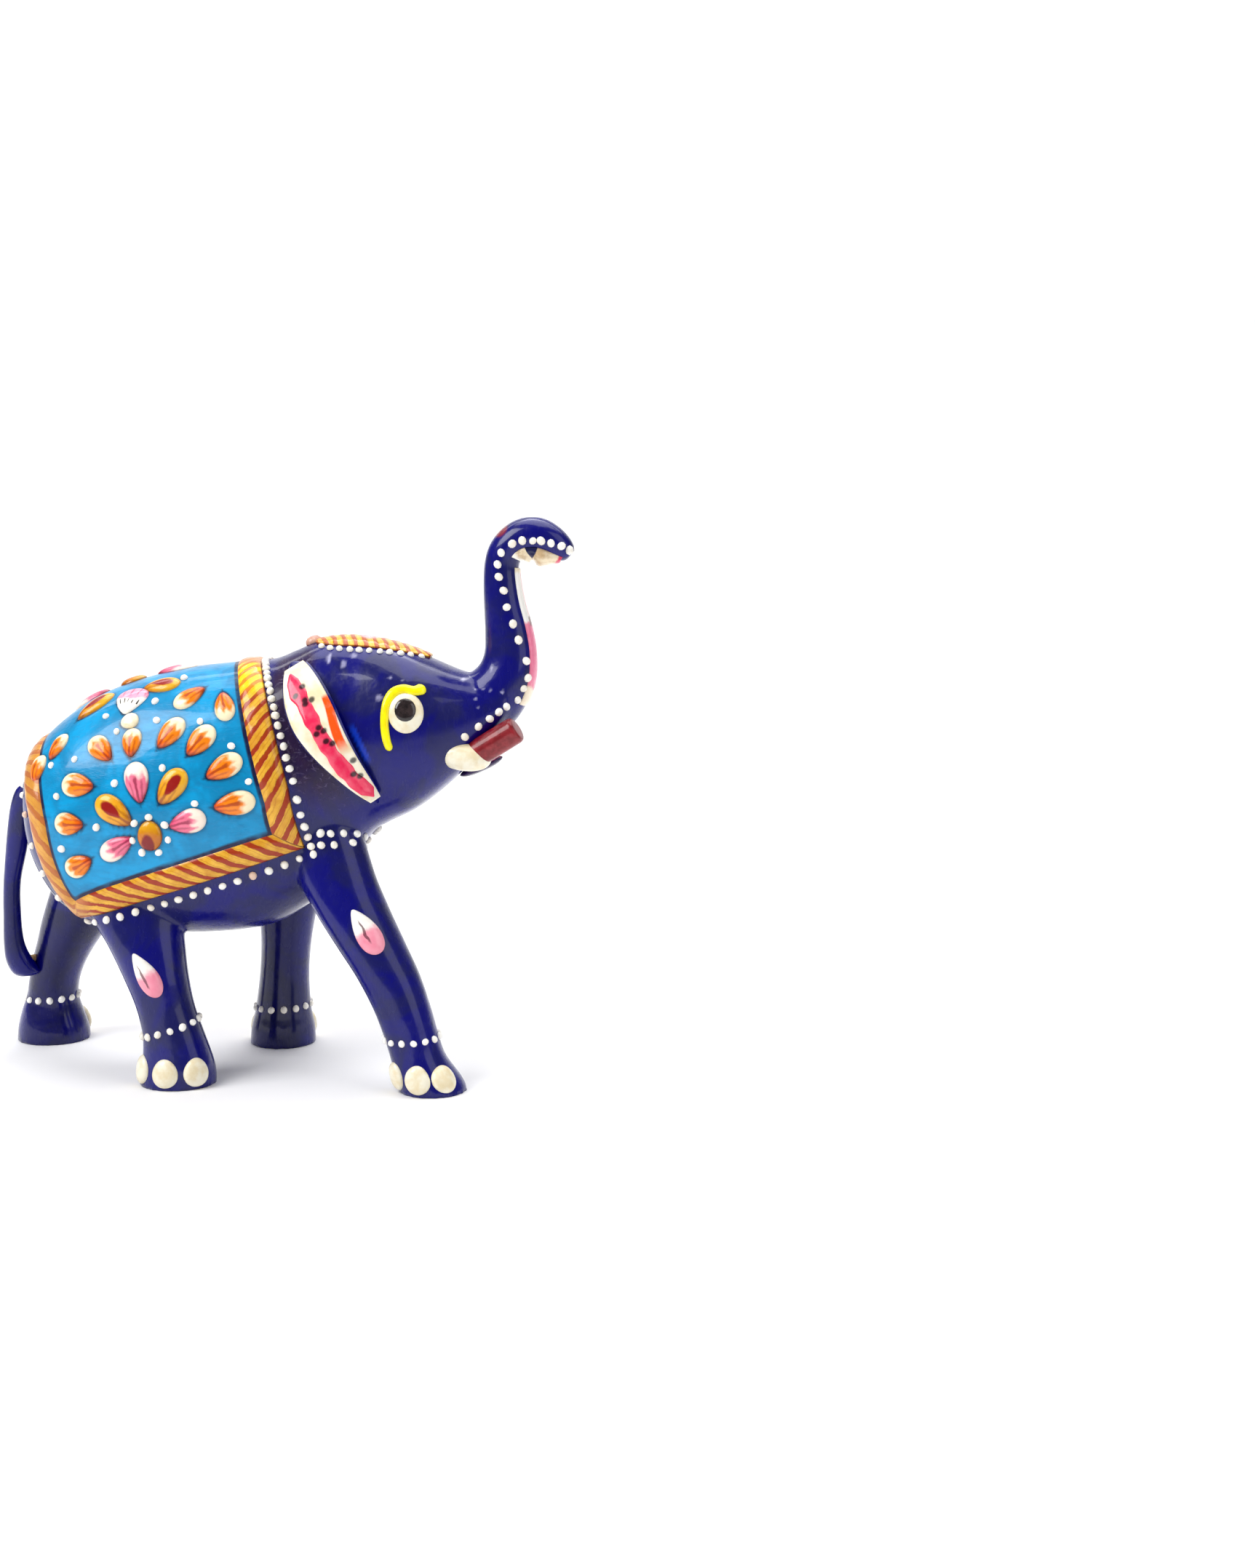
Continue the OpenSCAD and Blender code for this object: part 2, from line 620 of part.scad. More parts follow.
ear_edge = 1.2;
ear_swell = 2.2;
module ear_form() {
    acrosses = [-1, -0.6, -0.2, 0.2, 0.6, 1];
    function thick(across) = ear_edge + ear_swell * sqrt(1 - across * across);
    rings = [for (share = [0 : 0.0625 : 1])
        concat(
            [for (a = acrosses) ear_point(share, a) + [0, thick(a), 0]],
            [for (i = [len(acrosses) - 1 : -1 : 0]) ear_point(share, acrosses[i])])];
    skin(rings);
}

// ---- wood blocks ----
module torso() {
    color(navy) scale(size) difference() {
        union() {
            body_form(body_rear_x, 45);
            leg_form(right_front_rows, -1, 24, 75);
            leg_form(left_front_rows, 1, 24, 74);
            leg_form(right_hind_rows, -1, 24, 78);
            leg_form(left_hind_rows, 1, 24, 78);
        }
        above(leg_joint_z - whole);
        ahead_of(neck_point, neck_rise);
        neck_rods(bore_spare, bore_clearance);
        leg_rods(bore_spare, bore_clearance);
        tail_top_rod(bore_spare, bore_clearance);
    }
}

module head() {
    color(navy) scale(size) difference() {
        intersection() {
            union() {
                body_form(3, body_front_x);
                trunk_form(0, 5);
            }
            ahead_of(neck_point, neck_rise);
        }
        ahead_of(trunk_joint_point, trunk_joint_rise);
        neck_rods(bore_spare, bore_clearance);
        trunk_rod(bore_spare, bore_clearance);
        both_sides() {
            peg_tenon(bore_spare, bore_clearance);
            ear_rod(bore_spare, bore_clearance);
        }
    }
}

module trunk() {
    color(navy) scale(size) difference() {
        intersection() {
            union() {
                body_form(45, body_front_x);
                trunk_form(0, trunk_last);
            }
            ahead_of(trunk_joint_point, trunk_joint_rise);
        }
        trunk_rod(bore_spare, bore_clearance);
    }
}

module leg_block(rows, side) {
    color(navy) scale(size) difference() {
        leg_form(rows, side, 0, 49);
        above(leg_joint_z);
        leg_rod(rows, side, bore_spare, bore_clearance);
    }
}

module right_front_leg() { leg_block(right_front_rows, -1); }
module left_front_leg() { leg_block(left_front_rows, 1); }
module right_hind_leg() { leg_block(right_hind_rows, -1); }
module left_hind_leg() {
    difference() {
        leg_block(left_hind_rows, 1);
        scale(size) tail_low_rod(bore_spare, bore_clearance);
    }
}

module right_ear() {
    color(navy) scale(size) difference() {
        ear_form();
        body_form(6, 36);
        ear_rod(bore_spare, bore_clearance);
    }
}
module left_ear() { mirror([0, 1, 0]) right_ear(); }
module tail() {
    color(navy) scale(size) difference() {
        tail_form();
        body_form(body_rear_x, -50);
        leg_form(left_hind_rows, 1, 9, 39);
        tail_top_rod(bore_spare, bore_clearance);
        tail_low_rod(bore_spare, bore_clearance);
    }
}
module lower_lip() {
    color(navy) scale(size) difference() {
        lip_form();
        body_form(40, 60);
    }
}
module right_tusk_root() {
    color(cream) scale(size) difference() {
        root_form();
        body_form(36, 64);
        peg_body();
        peg_tenon(bore_spare, bore_clearance);
    }
}
module left_tusk_root() { mirror([0, 1, 0]) right_tusk_root(); }
module tusk_peg(length) {
    color([0.5, 0.1, 0.12]) scale(size) {
        peg_body(length);
        peg_tenon();
    }
}
module right_tusk_peg() { tusk_peg(peg_length); }
module left_tusk_peg() { mirror([0, 1, 0]) tusk_peg(left_peg_length); }

module neck_dowels() { color(wood) scale(size) neck_rods(); }
module trunk_dowel() { color(wood) scale(size) trunk_rod(); }
module leg_dowels() { color(wood) scale(size) leg_rods(); }
module tail_pins() {
    color(wood) scale(size) {
        tail_top_rod();
        tail_low_rod();
    }
}
module ear_pins() { color(wood) scale(size) both_sides() ear_rod(); }

// ---- relief: saddle cloth ----
band_profile = [[0, 0], [0.12, 0.7], [0.5, 1], [0.88, 0.7], [1, 0]];
cloth_u_steps = 12;
cloth_v_steps = 22;
front_steps = 31;
hem_steps = 16;
rear_steps = 27;

function span(from, to, steps) = [for (i = [0 : steps]) from + (to - from) * i / steps];
// The same row of values without its last one, for an edge that runs on into the next
function open_span(from, to, steps) = [for (i = [0 : steps - 1]) from + (to - from) * i / steps];

module saddle_cloth() {
    color([0, 0.55, 0.76]) scale(size)
    plate(panel_face, span(rear_band, 1 - front_band, cloth_u_steps), span(-1, 1, cloth_v_steps),
        0.005, 0.01, function (u, v) cloth_thick);
}

module cloth_border() {
    outer = concat(
        [for (v = open_span(-1, 1, front_steps)) [1, v]],
        [for (u = open_span(1, 0, hem_steps)) [u, 1]],
        [for (v = open_span(1, -1, rear_steps)) [0, v]],
        [for (u = open_span(0, 1, hem_steps)) [u, -1]]);
    function inner(q) =
        let (u = rear_band + (1 - rear_band - front_band) * q[0])
        [u, q[1] * hem_share(u)];
    rings = [for (q = outer)
        [for (row = band_profile)
            let (uv = q * (1 - row[0]) + inner(q) * row[0])
            cloth_face(uv[0], uv[1])
                + normal_of(cloth_face, uv[0], uv[1], 0.005, 0.01) * border_height * row[1]]];
    color(gold) scale(size) skin_loop(rings);
}

front_dots = 22;
hem_dots = 16;
rear_dots = 10;
front_dot_offset = 1.014;
front_dot_spread = 0.014;
hem_dot_offset = 1.045;
rear_dot_offset = -0.03;
module cloth_edge_dots() {
    corner = front_dot_offset + front_dot_spread;
    spots = concat(
        [for (i = [-front_dots : front_dots])
            [front_dot_offset + front_dot_spread * pow(i / front_dots, 2), i / front_dots]],
        [for (i = [0 : hem_dots], side = [-1, 1])
            [rear_dot_offset + (corner - rear_dot_offset) * i / hem_dots, side * hem_dot_offset]],
        [for (i = [1 - rear_dots : rear_dots - 1]) [rear_dot_offset, i / rear_dots]]);
    color(cream) scale(size)
    for (spot = spots) dot_on(cloth_face, spot[0], spot[1], 0.005, 0.01, edge_dot_d);
}

// Pads and dots that lie on the cloth, given by X and Z on its right half
cloth_top = lifted(body_face, cloth_thick, 0.3, 1);
module cloth_pads(rows, sharpness) {
    for (row = rows)
        pad(cloth_top, row[0], body_turn(row[0], row[1]), 0.3, 1, row[3] * petal_length,
            row[4] * petal_length, -row[2], petal_height, sharpness);
}

module spine_pad(x, heading, length, width) {
    pad(cloth_top, x, 0, 0.3, 1, length, width, heading, petal_height, 0.3);
}

module field_dots() {
    color(cream) scale(size) both_sides()
    for (row = field_dot_rows)
        dot_on(cloth_top, row[0], body_turn(row[0], row[1]), 0.3, 1, field_dot_d);
}

module orange_petals() { color([1, 0.5, 0.05]) scale(size) both_sides() cloth_pads(orange_rows, 0.45); }
module gold_petals() { color(gold) scale(size) both_sides() cloth_pads(gold_rows, 0.4); }
module pink_petals() { color([0.95, 0.4, 0.55]) scale(size) both_sides() cloth_pads(pink_rows, 0.5); }

module flower_hearts() {
    color([0.6, 0.35, 0.05]) scale(size) {
        both_sides() cloth_pads(heart_rows, 0.1);
        spine_pad(spine_heart_x, 0, 0.8 * petal_length, 0.72 * petal_length);
    }
}

module top_flower() {
    color([0.95, 0.45, 0.6]) scale(size) {
        both_sides() cloth_pads(tulip_rows, 0.6);
        for (row = spine_petal_rows) spine_pad(row[0], row[1], 1.2 * petal_length, 0.75 * petal_length);
    }
}

module tulip_bases() { color(cream) scale(size) both_sides() cloth_pads(tulip_base_rows, -0.3); }

// ---- relief: head ----
head_cloth_thick = 0.9;
head_dots = 11;
head_dot_offset = 1.2;
knob_x = 12.2;
knob_d = 4.6;

module head_cloth() {
    color(gold) scale(size)
    plate(head_cloth_face, span(0, 1, 14), span(-1, 1, 8), 0.01, 0.02,
        function (u, v) head_cloth_thick * (1 - 0.5 * v * v * v * v));
}

module head_cloth_dots() {
    color(cream) scale(size)
    for (i = [0 : head_dots - 1], side = [-1, 1])
        dot_on(head_cloth_face, 0.06 + 0.88 * i / (head_dots - 1), side * head_dot_offset, 0.01, 0.02,
            0.85 * edge_dot_d);
}

module head_knob() { color([0.8, 0.6, 0.5]) scale(size) dot_on(body_face, knob_x, 0, 0.3, 1, knob_d); }

module eye_whites() {
    color(cream) scale(size) both_sides()
    pad(body_face, eye_spot[0], body_turn(eye_spot[0], eye_spot[1]), 0.3, 1, eye_size[0], eye_size[1],
        90, eye_height, 0, 16);
}

module pupils() {
    color([0.06, 0.06, 0.06]) scale(size) both_sides()
    pad(lifted(body_face, eye_height, 0.3, 1), pupil_spot[0], body_turn(pupil_spot[0], pupil_spot[1]),
        0.3, 1, pupil_size[0], pupil_size[1], 90, pupil_height, 0, 14);
}

// Raised line on the body through rows of X and Z
line_profile = [[-1, 0], [-0.7, 0.7], [0, 1], [0.7, 0.7], [1, 0]];
module raised_line(rows, width_rows, height) {
    function spot(t) = let (q = along(rows, t)) body_point(q[0], body_turn(q[0], q[1]));
    last = len(rows) - 1;
    rings = [for (t = [0 : 0.5 : last])
        let (
            q = along(rows, t),
            p = spot(t),
            normal = normal_of(body_face, q[0], body_turn(q[0], q[1]), 0.3, 1),
            way = unit(spot(min(t + 0.1, last)) - spot(max(t - 0.1, 0))),
            side = unit(cross(way, normal)))
        [for (row = line_profile)
            p + side * row[0] * smooth_at(width_rows, t)[1] + normal * height * row[1]]];
    skin(rings);
}

module eyebrows() {
    color([0.98, 0.93, 0.1]) scale(size) both_sides() raised_line(brow_rows, brow_width_rows, brow_height);
}

ear_face_thick = 0.4;
ear_stripe_height = 0.7;
module ear_faces() {
    color(cream) scale(size) both_sides()
    plate(ear_front, span(0.03, 0.97, 12), span(-0.9, 0.9, 4), 0.01, 0.02,
        function (share, across) ear_face_thick);
}

module ear_stripes() {
    color([0.93, 0.25, 0.4]) scale(size) both_sides()
    plate(lifted(ear_front, ear_face_thick, 0.01, 0.02), span(0.07, 0.95, 12), span(-0.36, 0.3, 2),
        0.01, 0.02, function (share, across) ear_stripe_height);
}

// ---- relief: neck, trunk and legs ----
bead_rows = [[16.8, 67, 28.4, 64.4], [17.2, 63.2, 27.6, 60.6]];
beads_in_row = 6;
module neck_beads() {
    color(cream) scale(size) both_sides()
    for (row = bead_rows, i = [0 : beads_in_row - 1]) {
        f = i / (beads_in_row - 1);
        x = row[0] + (row[2] - row[0]) * f;
        dot_on(body_face, x, body_turn(x, row[1] + (row[3] - row[1]) * f), 0.3, 1, edge_dot_d);
    }
}

module trunk_dots() {
    color(cream) scale(size) both_sides() {
        for (row = trunk_dot_rows) dot_on(trunk_face, row[1], row[0], 1, 0.02, edge_dot_d);
        for (row = snout_dot_rows) dot_on(body_face, row[0], body_turn(row[0], row[1]), 0.3, 1, edge_dot_d);
    }
}

lining_thick = 0.5;
module trunk_lining() {
    color(cream) scale(size)
    plate(trunk_face, span(-34, 34, 4), span(1.5, 7, 16), 1, 0.02, function (turn, t) lining_thick);
}

mouth_lobe = 2.3;
mouth_peak = 11.6;
mouth_spread = 2.2;
module trunk_mouth() {
    color(cream) scale(size)
    plate(trunk_face, span(-58, 58, 6), span(8, 14, 12), 1, 0.02,
        function (turn, t)
            lining_thick + mouth_lobe * cos(turn) * exp(-pow((t - mouth_peak) / mouth_spread, 2)));
}

module leg_drops() {
    color([0.97, 0.55, 0.65]) scale(size)
    for (trim = leg_trim)
        pad(leg_face(trim[0], trim[1]), -trim[1] * trim[2], trim[3], 1, 0.3, trim[5], trim[6],
            trim[1] < 0 ? trim[4] : 180 - trim[4], petal_height, 0.6);
}

anklet_dot_count = 14;
module anklet_dots() {
    color(cream) scale(size)
    for (trim = leg_trim, i = [0 : anklet_dot_count - 1]) {
        turn = 360 * i / anklet_dot_count;
        dot_on(leg_face(trim[0], trim[1]), turn, trim[7] + trim[8] * cos(turn), 1, 0.3, anklet_dot_d);
    }
}

module toenails() {
    color(cream) scale(size)
    for (trim = leg_trim, turn = toenail_turns)
        pad(leg_face(trim[0], trim[1]), -trim[1] * turn, toenail_z, 1, 0.3, toenail_size[0],
            toenail_size[1], 90, toenail_height, 0.2);
}

torso();
head();
trunk();
right_front_leg();
left_front_leg();
right_hind_leg();
left_hind_leg();
right_ear();
left_ear();
tail();
lower_lip();
right_tusk_root();
left_tusk_root();
right_tusk_peg();
left_tusk_peg();
neck_dowels();
trunk_dowel();
leg_dowels();
tail_pins();
ear_pins();
saddle_cloth();
cloth_border();
cloth_edge_dots();
field_dots();
orange_petals();
gold_petals();
pink_petals();
flower_hearts();
top_flower();
tulip_bases();
head_cloth();
head_cloth_dots();
head_knob();
ear_faces();
ear_stripes();
eye_whites();
pupils();
eyebrows();
neck_beads();
trunk_dots();
trunk_lining();
trunk_mouth();
leg_drops();
anklet_dots();
toenails();
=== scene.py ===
import bmesh
import bpy
import numpy as np
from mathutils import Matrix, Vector


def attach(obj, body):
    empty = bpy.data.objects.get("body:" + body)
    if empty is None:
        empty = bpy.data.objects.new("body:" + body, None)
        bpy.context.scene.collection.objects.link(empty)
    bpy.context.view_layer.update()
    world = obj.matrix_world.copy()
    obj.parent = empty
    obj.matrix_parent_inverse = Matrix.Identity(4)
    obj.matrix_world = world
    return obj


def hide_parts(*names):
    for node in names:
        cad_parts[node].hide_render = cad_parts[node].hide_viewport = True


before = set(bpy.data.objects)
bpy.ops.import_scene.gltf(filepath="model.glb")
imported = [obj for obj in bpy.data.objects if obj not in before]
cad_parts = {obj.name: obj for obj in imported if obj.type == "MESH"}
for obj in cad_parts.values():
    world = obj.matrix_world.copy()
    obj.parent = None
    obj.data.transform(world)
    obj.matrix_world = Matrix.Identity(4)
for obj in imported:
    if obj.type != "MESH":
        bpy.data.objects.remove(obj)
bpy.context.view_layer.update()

scene = bpy.context.scene
mm = 0.001 * 149 / 149.2  # one drawn millimetre, in metres
dice = np.random.default_rng(5)
print("frame loaded")


# Curves through rows of numbers

def throughRows(rows, key):
    # cubic between rows keyed by their first column, each row's slope taken from its neighbours
    rows = np.asarray(rows, float)
    key = np.asarray(key, float)
    last = len(rows) - 1
    number = np.arange(last + 1)
    step = rows[np.minimum(number + 1, last)] - rows[np.maximum(number - 1, 0)]
    slope = step / step[:, :1]
    i = np.clip(np.searchsorted(rows[:, 0], key, side="right") - 1, 0, last - 1)
    a, b = rows[i], rows[i + 1]
    span = (b - a)[..., :1]
    f = np.clip((key[..., None] - a[..., :1]) / span, 0, 1)
    bend = slope[i] * (f**3 - 2 * f**2 + f) + slope[i + 1] * (f**3 - f**2)
    return a * (2 * f**3 - 3 * f**2 + 1) + b * (3 * f**2 - 2 * f**3) + bend * span


def alongRows(rows, t):
    # cubic through rows taken one after another, t counting rows
    rows = np.asarray(rows, float)
    t = np.asarray(t, float)
    last = len(rows) - 1
    i = np.clip(np.floor(t).astype(int), 0, last - 1)
    f = (t - i)[..., None]
    a, b = rows[np.maximum(i - 1, 0)], rows[i]
    c, d = rows[i + 1], rows[np.minimum(i + 2, last)]
    return 0.5 * (2 * b + (c - a) * f + (2 * a - 5 * b + 4 * c - d) * f**2
                  + (3 * b - a - 3 * c + d) * f**3)


def unitOf(v):
    return v / np.maximum(np.linalg.norm(v, axis=-1, keepdims=True), 1e-12)


def cosd(angle):
    return np.cos(np.radians(angle))


def sind(angle):
    return np.sin(np.radians(angle))


def smoothStep(value, low, high):
    f = np.clip((value - low) / (high - low), 0, 1)
    return f * f * (3 - 2 * f)


# Meshes from grids

def squares(rows, cols, wrapRows=False, wrapCols=False):
    # corner numbers of every square of a grid, facing rows crossed with columns
    r, c = np.meshgrid(np.arange(rows if wrapRows else rows - 1),
                       np.arange(cols if wrapCols else cols - 1), indexing="ij")
    r = r.ravel()[:, None] + np.array([0, 1, 1, 0])
    c = c.ravel()[:, None] + np.array([0, 0, 1, 1])
    return (r % rows) * cols + c % cols


def fans(rows, cols):
    # triangles that close both ends of a tube, round two extra points after the grid's own
    c = np.arange(cols)
    after = (c + 1) % cols
    first, second = rows * cols, rows * cols + 1
    start = np.stack([np.full(cols, first), c, after], -1)
    end = np.stack([np.full(cols, second), (rows - 1) * cols + after, (rows - 1) * cols + c], -1)
    return np.concatenate([start, end])


def markPoints(mesh, values):
    # named values for each point, which the enamels read
    for key, value in values.items():
        held = mesh.attributes.new(key, "FLOAT", "POINT")
        held.data.foreach_set("value", np.asarray(value, np.float32).ravel())


def placeMesh(name, points, faceSets, values=None):
    # points in drawn millimetres, arrays of corner numbers, and named values for each point
    mesh = bpy.data.meshes.new(name)
    points = np.asarray(points, float).reshape(-1, 3) * mm
    mesh.vertices.add(len(points))
    mesh.vertices.foreach_set("co", points.astype(np.float32).ravel())
    corners = np.concatenate([f.ravel() for f in faceSets]).astype(np.int32)
    sizes = np.concatenate([np.full(len(f), f.shape[1]) for f in faceSets])
    mesh.loops.add(len(corners))
    mesh.loops.foreach_set("vertex_index", corners)
    mesh.polygons.add(len(sizes))
    mesh.polygons.foreach_set("loop_start", np.concatenate([[0], np.cumsum(sizes)[:-1]]).astype(np.int32))
    mesh.polygons.foreach_set("use_smooth", np.ones(len(sizes), bool))
    mesh.update(calc_edges=True)
    markPoints(mesh, values or {})
    made = bpy.data.objects.new(name, mesh)
    scene.collection.objects.link(made)
    return made


def tube(name, rings):
    # rings of points along a path, capped by fans; ring direction crossed with the path faces out
    rows, cols = rings.shape[:2]
    rings = rings[:, ::-1]
    points = np.concatenate([rings.reshape(-1, 3), rings[0].mean(0)[None], rings[-1].mean(0)[None]])
    return placeMesh(name, points, [squares(rows, cols, False, True), fans(rows, cols)])


def slab(name, top, bottom, values=None, outward=True):
    # two grids of the same size as the faces of a thin plate, joined round the rim
    rows, cols = top.shape[:2]
    count = rows * cols
    face = squares(rows, cols)
    rim = np.concatenate([np.arange(cols), np.arange(1, rows) * cols + cols - 1,
                          (rows - 1) * cols + np.arange(cols - 2, -1, -1), np.arange(rows - 2, 0, -1) * cols])
    after = np.roll(rim, -1)
    sides = np.stack([rim, after, after + count, rim + count], -1)
    if not outward:
        face, sides = face[:, ::-1], sides[:, ::-1]
    faceSets = [face, face[:, ::-1] + count, sides]
    doubled = {key: np.tile(np.ravel(np.broadcast_to(v, (rows, cols))), 2)
               for key, v in (values or {}).items()}
    return placeMesh(name, np.concatenate([top.reshape(-1, 3), bottom.reshape(-1, 3)]), faceSets, doubled)


def join(name, parts):
    # several objects of one kind as one piece
    bpy.ops.object.select_all(action="DESELECT")
    for part in parts:
        part.select_set(True)
    bpy.context.view_layer.objects.active = parts[0]
    bpy.ops.object.join()
    parts[0].name = name
    parts[0].data.name = name
    return parts[0]


def finished(made, name, *nodes, slot, paint):
    made.name = name
    made.data.name = name
    made.data.materials.clear()
    made.data.materials.append(enamels[paint])
    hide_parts(*nodes)
    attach(made, "root")
    return made


# Outline of the carved form, the same rows as the blocks are cut to

bodyShape = {
    "rows": [  # station, top, bottom, half width as a share of the belly's
        [-66.6, 76.5, 73, 0.08], [-66.1, 80, 69, 0.24], [-65, 83.3, 63.5, 0.42], [-63, 87, 57.3, 0.58],
        [-60, 90.5, 51, 0.71], [-55, 95, 44.5, 0.83], [-47, 100.5, 39.6, 0.93], [-36, 105, 37.8, 0.985],
        [-22, 108.5, 37.6, 1], [-8, 110.2, 38.4, 0.965], [2, 111.6, 40.5, 0.89], [8, 114, 44, 0.815],
        [13, 116, 47.5, 0.76], [19, 117, 53.5, 0.7], [24.5, 117, 61, 0.67], [28.5, 116.5, 65.6, 0.67],
        [33, 115.6, 68.3, 0.68], [39, 113.8, 71.2, 0.665], [45, 111.3, 75.4, 0.6], [51, 108.8, 80.7, 0.5],
        [56, 107.4, 85.8, 0.41], [60, 106.8, 90.2, 0.355], [64, 106, 95, 0.3], [67, 104.5, 98.8, 0.2]],
    "halfBelly": 27.5,
    "waistShare": 0.48,
    "upperRound": 2.1,
    "lowerRound": 2.7,
}
legShapes = {  # height, X of the centre, distance from the mid plane, half length, half width
    "rightHind": (-1, [
        [0, -22.5, 20.4, 10.2, 9.2], [4, -22.3, 20.5, 9.8, 8.8], [8, -22.5, 20.6, 9, 8.2],
        [14, -23.5, 20.6, 8, 7.6], [21, -25.5, 20.2, 7.7, 7.5], [29, -28, 19.4, 8.6, 8.2],
        [37, -30.7, 17.8, 10.2, 8.8], [45, -34, 15.4, 12.4, 9.2], [55, -36.5, 13, 14, 10.4],
        [66, -38, 11, 13.5, 11.2], [78, -38, 9, 9, 9]]),
    "leftHind": (1, [
        [0, -71, 22.4, 10.3, 9.6], [4, -71, 22.4, 9.9, 9.2], [9, -71.1, 22.2, 8.4, 8.2],
        [13, -70.7, 21.8, 7.2, 7.4], [18, -69.7, 21.2, 7.1, 7.3], [23, -68, 20.5, 7.6, 7.6],
        [29, -65, 19.4, 8.5, 8.1], [36, -61, 17.8, 10.2, 8.7], [45, -55.5, 15.4, 12, 9.2],
        [55, -50, 13, 13.2, 10.4], [66, -46, 11, 13, 11.2], [78, -43, 9, 9, 9]]),
    "rightFront": (-1, [
        [0, 46.3, 23.2, 9, 8.8], [3, 45.2, 23.2, 8.7, 8.5], [9, 42.3, 23, 7.3, 7.6],
        [15, 40.4, 22.8, 7.2, 7.3], [22, 38, 22.2, 7.6, 7.5], [30, 34.4, 21.2, 8.4, 7.9],
        [38, 29.6, 19.4, 9.2, 8.4], [46, 24.8, 17.4, 9.9, 8.6], [55, 20, 14.8, 10.4, 8.4],
        [65, 16.8, 11.8, 10, 8.4], [75, 15.5, 9, 7.5, 7]]),
    "leftFront": (1, [
        [0, -4, 22, 9.3, 9], [5, -3.9, 22, 8.9, 8.6], [10, -3.7, 21.8, 7.9, 7.8],
        [20, -3, 21.2, 7, 7.1], [30, -2, 20.2, 7.1, 7.3], [40, -0.8, 18.4, 8.2, 7.9],
        [50, 1, 15.8, 9.5, 8.4], [62, 3, 12.6, 10.2, 8.8], [74, 4, 9.5, 7.5, 7.5]]),
}
trunkShape = {
    "rows": [  # X and Z of the centre line, half thickness fore and aft, half width
        [55, 97.5, 9.2, 9.4], [60, 101.5, 8.8, 8.8], [63.4, 106.5, 7.9, 7.6], [64.7, 112.5, 6.9, 6.5],
        [64.3, 119, 6.2, 6], [63.3, 125.5, 5.4, 5.6], [62.7, 131.5, 4.9, 5.2], [62.7, 136.3, 4.6, 5],
        [63.7, 139.8, 4.6, 5.1], [66, 142.4, 4.8, 5.3], [69, 143.8, 5.1, 5.5], [72.4, 143.9, 5.1, 5.4],
        [75.4, 142.8, 4.6, 4.9], [78, 141.2, 3.9, 4.1], [80, 139.8, 2.9, 3], [81, 139, 1.7, 1.8]],
}


def bodyPoint(x, turn):
    # superellipse round each station: turn 0 on the spine, 90 on the right flank, 180 below
    x, turn = np.broadcast_arrays(np.asarray(x, float), np.asarray(turn, float))
    row = throughRows(bodyShape["rows"], x)
    waist = row[..., 2] + bodyShape["waistShare"] * (row[..., 1] - row[..., 2])
    c, s = cosd(turn), sind(turn)
    power = np.where(c > 0, 2 / bodyShape["upperRound"], 2 / bodyShape["lowerRound"])
    reach = np.where(c > 0, row[..., 1] - waist, waist - row[..., 2])
    y = -row[..., 3] * bodyShape["halfBelly"] * np.sign(s) * np.abs(s)**power
    return np.stack([x, y, waist + reach * np.sign(c) * np.abs(c)**power], -1)


def bodyTurn(x, z):
    # the turn at which the outline of a station passes a height
    row = throughRows(bodyShape["rows"], x)
    waist = row[..., 2] + bodyShape["waistShare"] * (row[..., 1] - row[..., 2])
    up = z > waist
    share = np.clip((z - waist) / np.where(up, row[..., 1] - waist, waist - row[..., 2]), -1, 1)
    power = np.where(up, bodyShape["upperRound"], bodyShape["lowerRound"]) / 2
    return np.degrees(np.arccos(np.sign(share) * np.abs(share)**power))


def legPoint(leg, turn, z):
    # ellipse round each height: turn 0 at the front, 90 on the outer side
    side, rows = legShapes[leg]
    row = throughRows(rows, z)
    return np.stack([row[..., 1] + row[..., 3] * cosd(turn),
                     side * (row[..., 2] + row[..., 4] * sind(turn)), z + 0 * turn], -1)


def trunkPoint(turn, t):
    # ellipse across the centre line: turn 0 on the inner curve, 90 on the right side
    turn, t = np.broadcast_arrays(np.asarray(turn, float), np.asarray(t, float))
    row = alongRows(trunkShape["rows"], t)
    last = len(trunkShape["rows"]) - 1
    ahead = alongRows(trunkShape["rows"], np.minimum(t + 0.05, last))
    behind = alongRows(trunkShape["rows"], np.maximum(t - 0.05, 0))
    way = unitOf((ahead - behind)[..., :2])
    inner = np.stack([way[..., 1], 0 * t, -way[..., 0]], -1) * (row[..., 2] * cosd(turn))[..., None]
    across = np.stack([0 * turn, -row[..., 3] * sind(turn), 0 * turn], -1)
    return np.stack([row[..., 0], 0 * t, row[..., 1]], -1) + inner + across


def flankPoint(x, turn):
    # body point moved out to a thigh or shoulder that stands further out
    p = bodyPoint(x, turn)
    reach = np.zeros(p.shape[:-1])
    for side, rows in legShapes.values():
        row = throughRows(rows, p[..., 2])
        share = (p[..., 0] - row[..., 1]) / row[..., 3]
        out = np.where(np.abs(share) < 1, row[..., 2] + row[..., 4] * np.sqrt(np.maximum(1 - share**2, 0)), 0)
        reach = np.where((np.sign(p[..., 1]) == side) & (p[..., 2] < 70), np.maximum(reach, out), reach)
    y = np.where(np.abs(p[..., 1]) < reach, np.sign(p[..., 1]) * reach, p[..., 1])
    return np.stack([p[..., 0], y, p[..., 2]], -1)


# Carved skin: the outlines run together, their creases softened as sanding and enamel soften them

carving = {"voxel": 0.62, "softening": 7, "roundSteps": 84}


